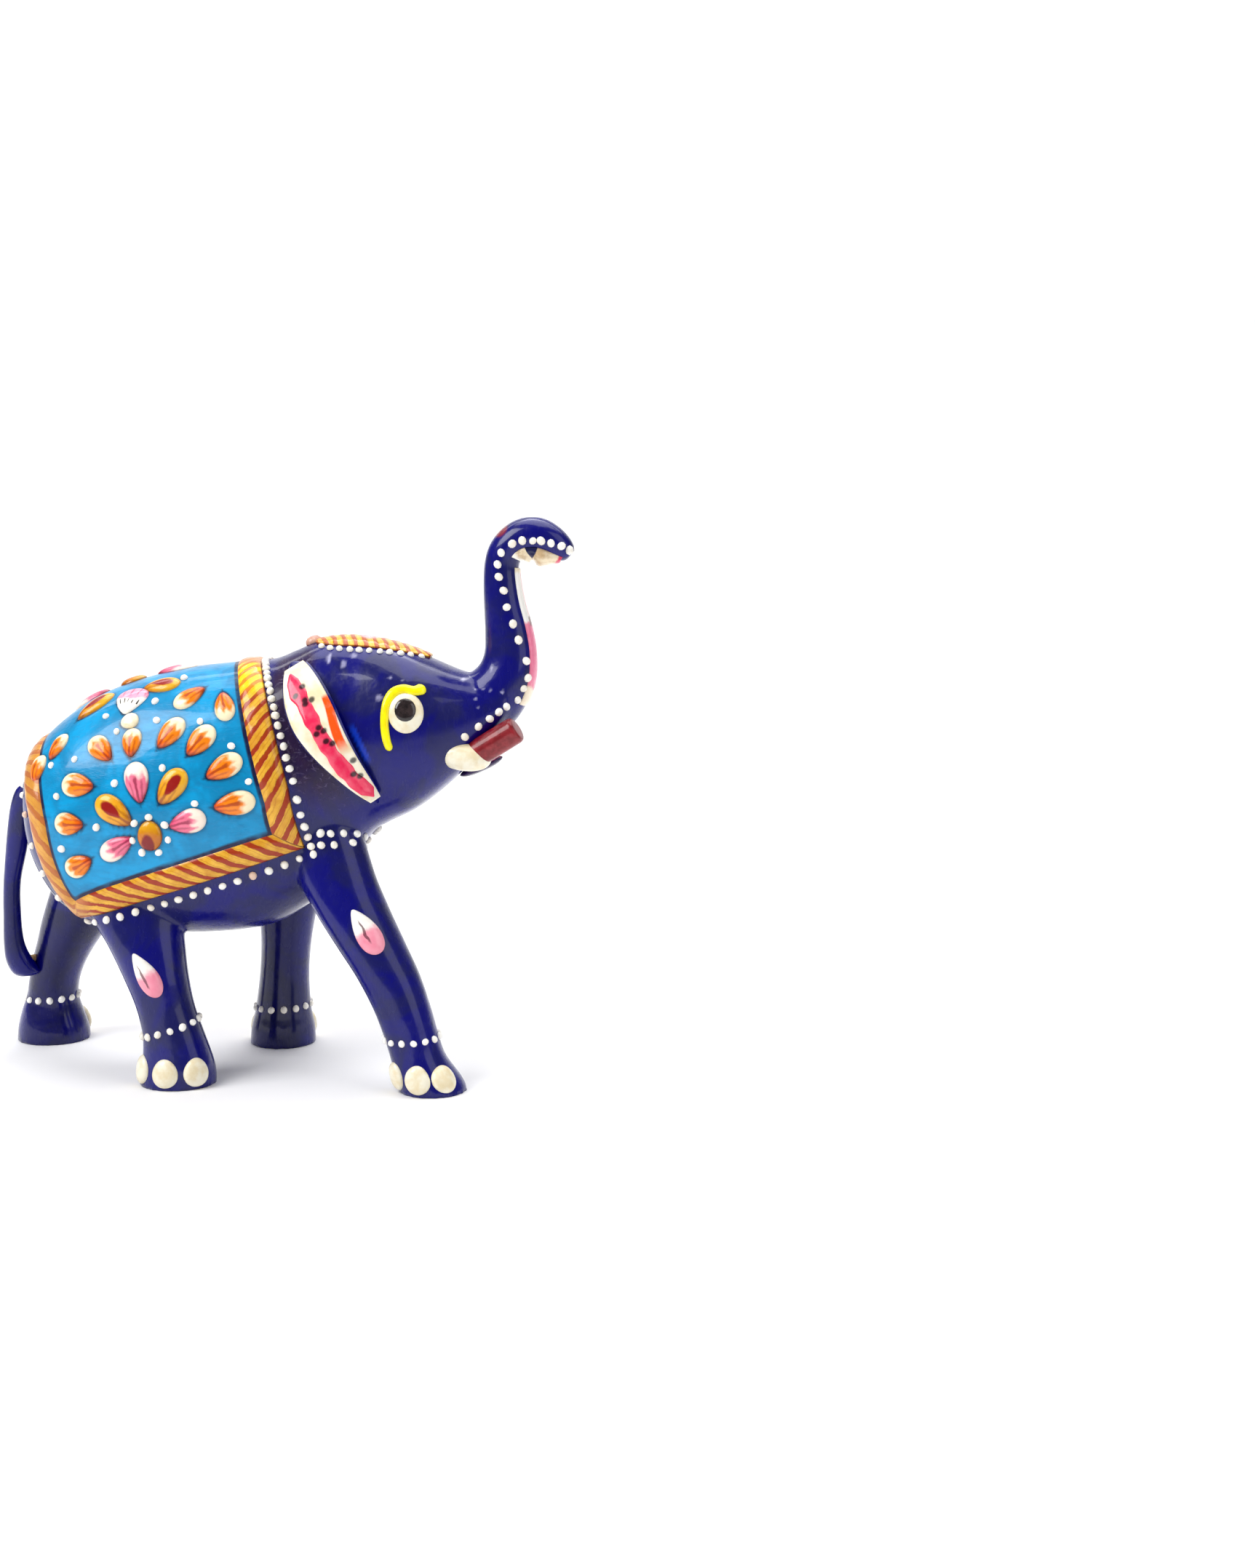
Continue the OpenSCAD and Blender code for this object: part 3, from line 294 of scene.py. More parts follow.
def carveSkin():
    turns = np.arange(carving["roundSteps"]) * 360 / carving["roundSteps"]
    rump = -66.6 + 5 * (1 - cosd(np.linspace(0, 90, 12)))
    stations = np.concatenate([rump, np.linspace(-61, 66, 110), [66.6, 67]])
    shells = [tube("bodyBlank", bodyPoint(stations[:, None], turns[None]))]
    for leg, (side, rows) in legShapes.items():
        z = np.linspace(0, rows[-1][0], 70)
        grid = legPoint(leg, side * turns[None], z[:, None])
        shells.append(tube("legBlank", grid))
    t = np.linspace(0, len(trunkShape["rows"]) - 1, 90)
    shells.append(tube("trunkBlank", trunkPoint(-turns[None], t[:, None])))
    skin = join("skin", shells)
    remesh = skin.modifiers.new("carve", "REMESH")
    remesh.mode = "VOXEL"
    remesh.voxel_size = carving["voxel"] * mm
    soften = skin.modifiers.new("soften", "SMOOTH")
    soften.factor = 0.5
    soften.iterations = carving["softening"]
    evaluated = skin.evaluated_get(bpy.context.evaluated_depsgraph_get())
    mesh = bpy.data.meshes.new_from_object(evaluated)
    skin.modifiers.clear()
    skin.data = mesh
    mesh.polygons.foreach_set("use_smooth", np.ones(len(mesh.polygons), bool))
    return skin


def pointsOf(mesh):
    co = np.empty(len(mesh.vertices) * 3, np.float32)
    mesh.vertices.foreach_get("co", co)
    return co.reshape(-1, 3).astype(float)


skin = carveSkin()
flat = pointsOf(skin.data)
flat[:, 2] = np.where(flat[:, 2] < 0.5 * mm, flat[:, 2] * 0.2, flat[:, 2])
flat[:, 2] = np.maximum(flat[:, 2], 0)
skin.data.vertices.foreach_set("co", flat.astype(np.float32).ravel())
skin.data.update()
print("skin carved:", len(skin.data.polygons), "faces")


def onSkin(points):
    # nearest place on the skin for each point and the way out of it there, both in drawn millimetres
    shape = points.shape
    probe = bpy.data.objects.new("probe", bpy.data.meshes.new("probe"))
    probe.data.vertices.add(points.size // 3)
    probe.data.vertices.foreach_set("co", (points * mm).astype(np.float32).ravel())
    scene.collection.objects.link(probe)
    wrap = probe.modifiers.new("wrap", "SHRINKWRAP")
    wrap.target = skin
    wrap.wrap_method = "NEAREST_SURFACEPOINT"
    wrap.wrap_mode = "ABOVE_SURFACE"
    found = []
    for offset in (0.0, mm):
        wrap.offset = offset
        evaluated = probe.evaluated_get(bpy.context.evaluated_depsgraph_get())
        found.append(pointsOf(evaluated.data) / mm)
    bpy.data.objects.remove(probe)
    return found[0].reshape(shape), unitOf(found[1] - found[0]).reshape(shape)


# Shader helper

class Wire:
    # one socket of a material's nodes; arithmetic on it adds Math nodes

    def __init__(self, tree, socket=None):
        self.tree = tree
        self.socket = socket

    def node(self, kind, settings=None, sockets=None, output=0):
        made = self.tree.nodes.new(kind)
        for key, value in (settings or {}).items():
            setattr(made, key, value)
        for key, value in (sockets or {}).items():
            if isinstance(value, Wire):
                self.tree.links.new(value.socket, made.inputs[key])
            else:
                made.inputs[key].default_value = value
        return Wire(self.tree, made.outputs[output])

    def maths(self, operation, a, b=0.0, c=0.0):
        return self.node("ShaderNodeMath", {"operation": operation}, {0: a, 1: b, 2: c})

    def __add__(self, other):
        return self.maths("ADD", self, other)

    def __radd__(self, other):
        return self.maths("ADD", other, self)

    def __sub__(self, other):
        return self.maths("SUBTRACT", self, other)

    def __rsub__(self, other):
        return self.maths("SUBTRACT", other, self)

    def __mul__(self, other):
        return self.maths("MULTIPLY", self, other)

    def __rmul__(self, other):
        return self.maths("MULTIPLY", other, self)

    def __pow__(self, other):
        return self.maths("POWER", self, other)

    def size(self):
        return self.maths("ABSOLUTE", self)

    def wave(self):
        return self.maths("SINE", self)

    def most(self, other):
        return self.maths("MAXIMUM", self, other)

    def least(self, other):
        return self.maths("MINIMUM", self, other)

    def ease(self, low, high):
        return self.node("ShaderNodeMapRange", {"interpolation_type": "SMOOTHSTEP"},
                         {0: self, 1: low, 2: high, 3: 0.0, 4: 1.0})

    def blend(self, a, b):
        # this socket as the share of b over a, both colours
        return self.node("ShaderNodeMix", {"data_type": "RGBA"}, {0: self, 6: a, 7: b}, 2)

    def scaled(self, amounts):
        return self.node("ShaderNodeVectorMath", {"operation": "MULTIPLY"}, {0: self, 1: amounts})

    def noise(self, scale, detail=2.0, rough=0.5, twist=0.0):
        return self.node("ShaderNodeTexNoise", {}, {"Vector": self, "Scale": scale, "Detail": detail,
                                                    "Roughness": rough, "Distortion": twist})

    def place(self):
        # where the point is on the object, in millimetres
        return self.node("ShaderNodeTexCoord", output="Object").scaled((1000, 1000, 1000))

    def part(self, axis):
        return self.node("ShaderNodeSeparateXYZ", {}, {0: self}, axis)

    def value(self, name):
        return self.node("ShaderNodeAttribute", {"attribute_name": name}, output="Fac")


def colourOf(red, green, blue):
    # screen colour 0 to 255 as linear light
    c = np.array([red, green, blue]) / 255
    c = np.where(c <= 0.04045, c / 12.92, ((c + 0.055) / 1.055)**2.4)
    return (float(c[0]), float(c[1]), float(c[2]), 1.0)


def startPaint(name):
    paint = bpy.data.materials.new(name)
    paint.use_nodes = True
    paint.node_tree.nodes.clear()
    return paint, Wire(paint.node_tree)


def endPaint(wire, colour, roughness, relief=None, depth=0.1, coat=0.6, coatRoughness=0.06):
    # relief in millimetres per unit feeds a Bump node
    sockets = {"Base Color": colour, "Roughness": roughness, "Metallic": 0.0, "Specular IOR Level": 0.22,
               "Coat Weight": coat, "Coat Roughness": coatRoughness}
    if relief is not None:
        bump = {"Strength": 1.0, "Distance": depth * mm, "Height": relief}
        sockets["Normal"] = wire.node("ShaderNodeBump", {}, bump)
    shader = wire.node("ShaderNodeBsdfPrincipled", {}, sockets)
    out = wire.tree.nodes.new("ShaderNodeOutputMaterial")
    wire.tree.links.new(shader.socket, out.inputs["Surface"])


# Enamels

def makeBodyEnamel():
    paint, wire = startPaint("navyEnamel")
    at = wire.place()
    patches = at.noise(0.075, 3.0, 0.55, 0.6).ease(0.42, 0.6)
    strokes = at.scaled((1.0, 1.0, 0.25)).noise(0.5, 2.0, 0.6).ease(0.35, 0.75)
    deep = patches.blend(colourOf(0, 0, 110), colourOf(16, 19, 88))
    body = (strokes * 0.06).blend(deep, colourOf(36, 36, 118))
    hatch = at.scaled((0.9, 0.35, 1.3)).noise(0.55, 2.0, 0.5, 1.6).ease(0.56, 0.7)
    neck = wire.value("neck")
    # dark purple-brown behind the ear: partly painted shade of the ear standing off the neck, with the carved
    # hatching in grey-lilac over it
    neckShade = at.noise(0.25, 2.0).blend(colourOf(22, 6, 56), colourOf(54, 30, 60))
    neckColour = (hatch * 0.6).blend(neckShade, colourOf(100, 84, 122))
    body = (neck * (0.65 + 0.5 * at.noise(0.4, 3.0))).least(1.0).blend(body, neckColour)
    # painted shade: the inner faces of the lower legs darkened towards near-black navy
    body = wire.value("innerLegShade").blend(body, colourOf(4, 3, 40))
    body = wire.value("crest").blend(body, colourOf(128, 34, 52))
    tired = at.noise(0.9, 4.0, 0.7).ease(0.66, 0.74)
    body = (tired * 0.14).blend(body, colourOf(110, 114, 168))
    # painted highlight: pale spots on the head, nape and trunk root stand in for reflections of the lights
    paintedGlint = (wire.value("paintedGlint") * (0.35 + 0.9 * at.noise(0.8, 3.0))).least(0.9)
    body = paintedGlint.blend(body, colourOf(190, 188, 222))
    body = wire.value("gleam").blend(body, colourOf(0, 58, 205))
    roughness = 0.24 + 0.06 * strokes + 0.14 * neck * hatch
    relief = at.noise(0.14, 3.0, 0.5) * 2.2 + 0.03 * strokes + 0.6 * neck * hatch + 0.06 * at.noise(1.6, 3.0)
    endPaint(wire, body, roughness, relief, 0.16, 0.4, 0.06)
    return paint


def makeClothEnamel():
    paint, wire = startPaint("turquoiseEnamel")
    at = wire.place()
    patches = at.noise(0.09, 3.0, 0.6, 0.8).ease(0.38, 0.66)
    colour = patches.blend(colourOf(0, 132, 184), colourOf(0, 156, 214))
    streak = at.scaled((0.3, 1.0, 1.0)).noise(0.9, 3.0, 0.6).ease(0.4, 0.8)
    colour = (streak * 0.3).blend(colour, colourOf(0, 104, 160))
    # dark rings round the petals: part painted outline, part painted shade of the raised petals, heavier at
    # their tips
    outline = (wire.value("outline") * (0.55 + 0.9 * at.noise(0.5, 2.0))).least(1.0)
    colour = outline.blend(colour, colourOf(6, 34, 66))
    edge = (wire.value("rim") * (0.5 + 1.0 * at.noise(0.35, 2.0))).least(1.0)
    colour = edge.blend(colour, colourOf(20, 22, 60))
    wash = at.noise(0.5, 4.0, 0.65).ease(0.62, 0.78)
    colour = (wash * 0.14).blend(colour, colourOf(110, 190, 225))
    endPaint(wire, colour, 0.28 + 0.1 * streak, at.noise(0.3, 3.0) + 0.3 * streak, 0.16, 0.35)
    return paint


def makeBorderEnamel():
    # gold ground with slanted dark red brush strokes, brighter yellow or faded tan in places
    paint, wire = startPaint("goldBorderEnamel")
    at = wire.place()
    lane, across, bright = wire.value("lane"), wire.value("across"), wire.value("bright")
    waver = at.noise(0.3, 3.0, 0.6) - 0.5
    turns = (lane + waver * 0.4) * 6.2832
    thick = at.noise(0.2, 2.0) * 0.9 - 0.6
    mask = (turns.wave() + thick).ease(-0.05, 0.35)
    ground = at.noise(0.28, 3.0, 0.6).ease(0.3, 0.7).blend(colourOf(212, 146, 34), colourOf(238, 184, 58))
    ground = bright.blend(ground, colourOf(253, 222, 6))
    fine = (turns * 3.1 + 1.0).wave().ease(0.55, 1.0)
    ground = (fine * 0.45).blend(ground, colourOf(190, 112, 26))
    stroke = at.noise(0.5, 2.0).blend(colourOf(146, 8, 0), colourOf(168, 44, 4))
    stroke = bright.blend(stroke, colourOf(232, 130, 10))
    colour = (mask * 0.95).blend(ground, stroke)
    faded = (wire.value("faded") * (0.6 + 0.6 * at.noise(0.5, 3.0))).least(1.0)
    colour = faded.blend(colour, colourOf(204, 136, 70))
    rose = (at.noise(0.9, 2.0) * 0.6).blend(colourOf(236, 150, 160), colourOf(250, 214, 206))
    colour = wire.value("rose").blend(colour, rose)
    edge = (across - 0.5).size().ease(0.42, 0.5)
    colour = (edge * 0.75).blend(colour, colourOf(120, 40, 8))
    endPaint(wire, colour, 0.3 + 0.1 * mask, mask * -0.5 + at.noise(0.9, 3.0) * 0.4, 0.22, 0.5, 0.1)
    return paint


def makePetalEnamel(name, roundEnd, middle, tip, vein, whiteShare, heart=None):
    # light at the round end, brushed into the middle colour, with veins that run from the tip
    paint, wire = startPaint(name)
    at = wire.place()
    along, across, rim = wire.value("along"), wire.value("across"), wire.value("rim")
    waver = at.noise(0.32, 3.0, 0.6) - 0.5
    bristle = (across * 10.0 + at.noise(0.25, 2.0) * 9.0).wave() * 0.06
    start = whiteShare + 0.16 * (across * across) + waver * 0.3 + bristle
    colour = (along - start).ease(-0.07, 0.12).blend(roundEnd, middle)
    colour = ((along - 0.78) + waver * 0.2).ease(-0.12, 0.18).blend(colour, tip)
    lane = (across + waver * 0.4).size()
    veins = (0.17 - lane).ease(-0.06, 0.1) * (along - (whiteShare + 0.04) + waver * 0.2).ease(0.0, 0.12)
    side = (lane - 0.5).size()
    faint = (0.1 - side).ease(-0.05, 0.08) * (along - (whiteShare + 0.14) + waver * 0.3).ease(0.0, 0.1)
    veins = veins.most(faint * 0.6)
    colour = (veins * 0.8).blend(colour, vein)
    if heart is not None:
        long = (along - 0.45) * 3.0
        wide = (across - 0.05) * 2.1
        spot = (long * long + wide * wide) ** 0.5
        colour = (1.0 - (spot + waver * 0.4).ease(0.7, 0.95)).blend(colour, heart)
    dark = (rim + waver * 0.3).ease(0.8, 1.1) * (0.2 + 0.8 * along)
    colour = dark.least(1.0).blend(colour, colourOf(96, 40, 14))
    endPaint(wire, colour, 0.28 + 0.1 * veins, at.noise(0.8, 3.0) + bristle * 3.0, 0.1, 0.6, 0.08)
    return paint


def makeHeartEnamel():
    # gold drop with a dark red pool at its lower end
    paint, wire = startPaint("amberHeartEnamel")
    at = wire.place()
    along, across = wire.value("along"), wire.value("across")
    waver = at.noise(0.4, 3.0, 0.6) - 0.5
    gold = (along + waver * 0.5).ease(0.4, 0.9).blend(colourOf(196, 110, 8), colourOf(222, 160, 18))
    long = (along - 0.22) * 2.6
    wide = (across - 0.1 + waver * 0.3) * 1.7
    pool = 1.0 - ((long * long + wide * wide) ** 0.5 + waver * 0.3).ease(0.7, 1.0)
    colour = pool.blend(gold, colourOf(128, 10, 4))
    edge = wire.value("rim").ease(0.84, 1.0)
    colour = (edge * 0.6).blend(colour, colourOf(110, 50, 10))
    endPaint(wire, colour, 0.26, at.noise(0.8, 3.0), 0.1)
    return paint


def makeTulipEnamel():
    # pink fan with dark dashes over a white fringe
    paint, wire = startPaint("tulipEnamel")
    at = wire.place()
    along, across = wire.value("along"), wire.value("across")
    waver = at.noise(0.35, 3.0, 0.6) - 0.5
    pink = at.noise(0.5, 3.0, 0.6).blend(colourOf(240, 132, 176), colourOf(250, 190, 205))
    fringe = (along + waver * 0.25 + 0.12 * (across * across)).ease(0.5, 0.58)
    colour = fringe.blend(pink, colourOf(255, 248, 238))
    spokes = (across * 19.0 + waver * 3.0).wave().ease(0.62, 0.9)
    belt = (along + waver * 0.3 - 0.62).size().ease(0.1, 0.05)
    colour = (spokes * belt).blend(colour, colourOf(30, 22, 24))
    streak = (across * 15.0 + 1.4 + waver * 4.0).wave().ease(0.6, 0.95) * (0.5 - along).ease(0.0, 0.2)
    colour = (streak * 0.7).blend(colour, colourOf(196, 40, 96))
    endPaint(wire, colour, 0.28, at.noise(0.8, 3.0), 0.1)
    return paint


def makeDropEnamel():
    # pink at the round end, white at the tip, a dark stroke between
    paint, wire = startPaint("legDropEnamel")
    at = wire.place()
    along, across = wire.value("along"), wire.value("across")
    waver = at.noise(0.35, 3.0, 0.6) - 0.5
    pink = at.noise(0.4, 3.0).blend(colourOf(240, 120, 150), colourOf(250, 176, 190))
    colour = (along + waver * 0.25).ease(0.42, 0.6).blend(pink, colourOf(255, 250, 242))
    long = (along - 0.5) * 3.4
    wide = (across - 0.18 + waver * 0.3) * 8.0
    spot = (long * long + wide * wide) ** 0.5
    colour = (0.8 - 0.8 * (spot + waver * 0.4).ease(0.6, 1.0)).blend(colour, colourOf(90, 30, 52))
    endPaint(wire, colour, 0.26, at.noise(0.8, 3.0), 0.1)
    return paint


def makeEarEnamel():
    paint, wire = startPaint("earCreamEnamel")
    at = wire.place()
    colour = at.noise(0.16, 3.0, 0.6).ease(0.4, 0.7).blend(colourOf(252, 244, 222), colourOf(240, 222, 178))
    orange = (wire.value("orange") * (0.7 + 0.7 * at.noise(0.5, 2.0))).least(1.0)
    colour = orange.blend(colour, colourOf(250, 88, 16))
    colour = (wire.value("speck") * 0.9).blend(colour, colourOf(20, 12, 20))
    endPaint(wire, colour, 0.24, at.noise(0.5, 3.0), 0.14)
    return paint


def makeStripeEnamel():
    paint, wire = startPaint("earStripeEnamel")
    at = wire.place()
    tone = at.noise(0.3, 3.0, 0.6).ease(0.35, 0.7)
    colour = tone.blend(colourOf(236, 34, 84), colourOf(240, 84, 112))
    colour = (wire.value("speck") * 0.95).blend(colour, colourOf(30, 8, 24))
    endPaint(wire, colour, 0.26, at.noise(0.7, 3.0), 0.12)
    return paint


def makeLiningEnamel():
    # white above with a pale pink line, a brown touch, pink below, then cream
    paint, wire = startPaint("trunkLiningEnamel")
    at = wire.place()
    run, aside = wire.value("run"), wire.value("aside")
    waver = at.noise(0.35, 3.0, 0.6) - 0.5
    line = (0.3 - (aside - 0.1).size()).ease(0.0, 0.2)
    white = line.blend(colourOf(255, 253, 248), colourOf(246, 196, 196))
    white = (run - 6.4 + waver).ease(0.0, 0.4).blend(white, colourOf(240, 228, 200))
    pink = at.noise(0.5, 2.0).blend(colourOf(236, 92, 140), colourOf(246, 156, 180))
    colour = (run + waver * 0.4).ease(4.15, 4.35).blend(pink, white)
    brown = (0.22 - (run - 4.3 + waver * 0.3).size()).ease(0.0, 0.1) * (0.6 - aside).ease(0.0, 0.2)
    colour = (brown * 0.8).blend(colour, colourOf(84, 60, 44))
    colour = (run + waver * 0.6).ease(1.95, 2.2).blend(colourOf(248, 232, 206), colour)
    endPaint(wire, colour, 0.26, at.noise(0.7, 3.0), 0.12)
    return paint


def makeMouthEnamel():
    # tan cream, a blue wedge between the two lobes and a red touch at the tip
    paint, wire = startPaint("trunkMouthEnamel")
    at = wire.place()
    run, aside = wire.value("run"), wire.value("aside")
    waver = at.noise(0.35, 3.0, 0.6) - 0.5
    colour = at.noise(0.35, 3.0, 0.6).ease(0.35, 0.7).blend(colourOf(240, 224, 190), colourOf(206, 176, 134))
    colour = (run + waver).ease(8.9, 8.3).blend(colour, colourOf(255, 250, 240))
    wedge = (aside - (0.42 + (run - 10.6).size() * 0.75) + waver * 0.2).ease(-0.03, 0.05)
    colour = wedge.blend(colour, colourOf(14, 16, 70))
    colour = (run + waver * 0.4).ease(13.35, 13.6).blend(colour, colourOf(216, 40, 84))
    endPaint(wire, colour, 0.28, at.noise(0.6, 3.0), 0.14)
    return paint


def makeLipEnamel():
    paint, wire = startPaint("lipEnamel")
    at = wire.place()
    level = at.part(2) - (at.part(0) - 53.4) * 0.448 - 81.3
    waver = at.noise(0.5, 3.0, 0.6) - 0.5
    navy = at.noise(0.4, 2.0).blend(colourOf(18, 10, 60), colourOf(58, 28, 84))
    pink = at.noise(0.5, 2.0).blend(colourOf(214, 50, 110), colourOf(244, 130, 160))
    tip = (at.part(0) + waver).ease(58.2, 59.4)
    colour = ((level + waver * 0.5).ease(0.1, 0.35) * tip).blend(navy, pink)
    endPaint(wire, colour, 0.25, at.noise(0.6, 3.0), 0.12)
    return paint


def makeDotEnamel():
    paint, wire = startPaint("whiteDropEnamel")
    at = wire.place()
    colour = at.noise(0.1, 2.0).ease(0.4, 0.7).blend(colourOf(255, 253, 246), colourOf(246, 238, 222))
    colour = wire.value("tint").blend(colour, colourOf(226, 186, 160))
    endPaint(wire, colour, 0.2 + 0.1 * at.noise(1.0, 2.0), at.noise(1.2, 2.0), 0.05, 0.8)
    return paint


def makeFloorPaint():
    paint, wire = startPaint("studioPaper")
    at = wire.place()
    colour = at.noise(0.004, 2.0).blend(colourOf(250, 250, 251), colourOf(245, 245, 246))
    endPaint(wire, colour, 0.85 + 0.05 * at.noise(0.05, 2.0), at.noise(0.3, 3.0), 0.02, 0.0)
    return paint


def makePlainEnamel(name, main, second, spots=0.3, roughness=0.25, coat=0.6, depth=0.1):
    # one enamel with a soft second tone and brush marks
    paint, wire = startPaint(name)
    at = wire.place()
    tone = at.noise(spots, 3.0, 0.6).ease(0.35, 0.68)
    colour = tone.blend(main, second)
    streak = at.scaled((1.0, 0.4, 0.5)).noise(1.3, 3.0, 0.6)
    endPaint(wire, colour, roughness + 0.12 * streak, at.noise(0.6, 3.0) + 0.4 * streak, depth, coat)
    return paint


def makeBareWood():
    paint, wire = startPaint("bareWood")
    at = wire.place().scaled((0.15, 1.0, 1.0))
    rings = (at.noise(0.5, 3.0) * 30.0).wave().ease(-0.6, 0.9)
    grain = at.noise(3.0, 4.0, 0.7)
    colour = (rings * 0.6 + grain * 0.3).blend(colourOf(206, 172, 120), colourOf(160, 118, 72))
    endPaint(wire, colour, 0.6 + 0.15 * grain, grain, 0.1, 0.0)
    return paint


enamels = {
    "body": makeBodyEnamel(),
    "cloth": makeClothEnamel(),
    "border": makeBorderEnamel(),
    "orange": makePetalEnamel("orangePetalEnamel", colourOf(255, 240, 200), colourOf(250, 134, 12),
                              colourOf(228, 84, 6), colourOf(160, 44, 4), 0.26),
    "pink": makePetalEnamel("pinkPetalEnamel", colourOf(255, 238, 222), colourOf(240, 116, 146),
                            colourOf(224, 70, 116), colourOf(140, 22, 60), 0.3),
    "gold": makePetalEnamel("goldPetalEnamel", colourOf(236, 176, 40), colourOf(232, 160, 24),
                            colourOf(196, 120, 20), colourOf(150, 70, 10), 0.3, colourOf(150, 16, 10)),
    "heart": makeHeartEnamel(),
    "cream": makePlainEnamel("creamEnamel", colourOf(250, 244, 222), colourOf(236, 220, 180), 0.25),
    "white": makeDotEnamel(),
    "tulip": makeTulipEnamel(),
    "drop": makeDropEnamel(),
    "ear": makeEarEnamel(),
    "stripe": makeStripeEnamel(),
    "lining": makeLiningEnamel(),
    "mouth": makeMouthEnamel(),
    "lip": makeLipEnamel(),
    "floor": makeFloorPaint(),
    "black": makePlainEnamel("blackEnamel", colourOf(22, 14, 16), colourOf(52, 40, 40), 0.5, 0.16, 0.9),
    "yellow": makePlainEnamel("yellowEnamel", colourOf(255, 246, 0), colourOf(248, 226, 0), 0.3),
    "red": makePlainEnamel("darkRedEnamel", colourOf(118, 14, 24), colourOf(146, 34, 42),
                           0.45, 0.3, 0.5, 0.16),
    "knob": makePlainEnamel("tanEnamel", colourOf(222, 178, 156), colourOf(190, 128, 108), 0.5),
    "wood": makeBareWood(),
}
print("enamels mixed")


# Paint masks that the skin carries into its blocks

headGlints = [  # X, Z, half length, half height and strength of painted highlights on the head, pale spots standing in for reflections of the lights
    [32.4, 102.6, 1.1, 1, 0.7], [53, 106.6, 0.9, 0.6, 0.9], [56.4, 104.2, 0.45, 0.45, 0.8],
    [58.4, 104.3, 0.4, 0.4, 0.6], [60.4, 104.1, 0.5, 0.4, 0.8], [63.6, 103.4, 0.6, 0.55, 1],
    [56.6, 101.8, 0.45, 0.5, 0.6], [57.4, 99.6, 0.4, 0.4, 0.5], [35, 107.6, 0.7, 0.45, 0.8],
    [38, 106.9, 0.5, 0.4, 0.5], [18.2, 112.3, 0.7, 1.6, 1], [22.2, 110.9, 0.8, 1.3, 0.8],
    [24.6, 113, 0.9, 0.8, 0.7], [60.6, 109.4, 0.5, 0.9, 0.5]]


def paintSkin():
    p = pointsOf(skin.data) / mm
    x, y, z = p.T
    spine = np.array([[9, 112], [8.5, 104], [10, 96], [13, 87], [17.5, 78], [22, 70.5]], float)
    path = alongRows(spine, np.linspace(0, 5, 60))
    away = np.sqrt(((x[:, None] - path[None, :, 0])**2 + (z[:, None] - path[None, :, 1])**2).min(1))
    # region behind the ear whose dark ground is partly painted shade of the ear
    neck = (1 - smoothStep(away, 3.6, 7)) * smoothStep(np.abs(y), 3.5, 8) * smoothStep(z, 70, 82)
    # painted highlights: pale spots where the lights would reflect on the head and trunk root
    paintedGlint = np.zeros(len(p))
    for px, pz, wide, tall, strength in headGlints:
        far = np.hypot((x - px) / wide, (z - pz) / tall)
        paintedGlint = np.maximum(paintedGlint, strength * (1 - smoothStep(far, 0.45, 1)))
    gx, gz = x - 25.2, z - 95.4  # from the upper end of the gleam beside the ear
    along, aside = (gx * 4.6 - gz * 9.6) / 113.3, np.abs(gx * 9.6 + gz * 4.6) / 10.65
    gleam = ((1 - smoothStep(aside, 0.5, 1.0)) * smoothStep(along, -0.1, 0.15)
             * (1 - smoothStep(along, 0.8, 1.1)))
    onward, rise = (x - 62.6) * 0.62 + (z - 146) * 0.2, (z - 145.6) * 0.75 - (x - 62.6) * 0.4
    crest = 1 - smoothStep(np.hypot(onward, rise), 1.0, 1.6)
    crest = crest * (1 - smoothStep(y, 2, 3.5))
    # painted shade on the inner faces of the legs below the leg joints
    innerLegShade = np.zeros(len(p))
    for side, rows in legShapes.values():
        row = throughRows(rows, z)
        inner = smoothStep(side * y, row[:, 2] - 0.55 * row[:, 4], row[:, 2] - 0.95 * row[:, 4])
        innerLegShade = np.maximum(innerLegShade, inner * (z < 40) * (side * y > 0) * 0.5)
    markPoints(skin.data, {"neck": neck, "crest": crest, "innerLegShade": innerLegShade, "paintedGlint": paintedGlint, "gleam": gleam})


paintSkin()


# Blocks: the skin cut at the glue joints

joints = {"legZ": 37.4, "neck": ((19.5, 0, 89), 25.6), "trunk": ((60, 0, 100), 39.0)}


def cutSkin(source, name, point, normal):
    # the part of a mesh on the far side of a plane, closed where it was cut
    bm = bmesh.new()
    bm.from_mesh(source)
    bmesh.ops.bisect_plane(bm, geom=bm.verts[:] + bm.edges[:] + bm.faces[:], plane_co=Vector(point) * mm,
                           plane_no=Vector(normal), clear_inner=True)
    rim = [e for e in bm.edges if e.is_boundary]
    filled = bmesh.ops.holes_fill(bm, edges=rim, sides=0)
    for face in filled["faces"]:
        face.smooth = False
        for e in face.edges:
            e.smooth = False
    mesh = bpy.data.meshes.new(name)
    bm.to_mesh(mesh)
    bm.free()
    return mesh


def heading(rise):
    return Vector((float(cosd(rise)), 0.0, float(sind(rise))))


def keepBox(source, name, test):
    # the loose parts of a mesh whose points pass a test
    bm = bmesh.new()
    bm.from_mesh(source)
    gone = [v for v in bm.verts if not test(v.co / mm)]
    bmesh.ops.delete(bm, geom=gone, context="VERTS")
    mesh = bpy.data.meshes.new(name)
    bm.to_mesh(mesh)
    bm.free()
    return mesh


def blockOf(mesh, name, node):
    made = bpy.data.objects.new(name, mesh)
    scene.collection.objects.link(made)
    return finished(made, name, node, slot="body_enamel", paint="body")


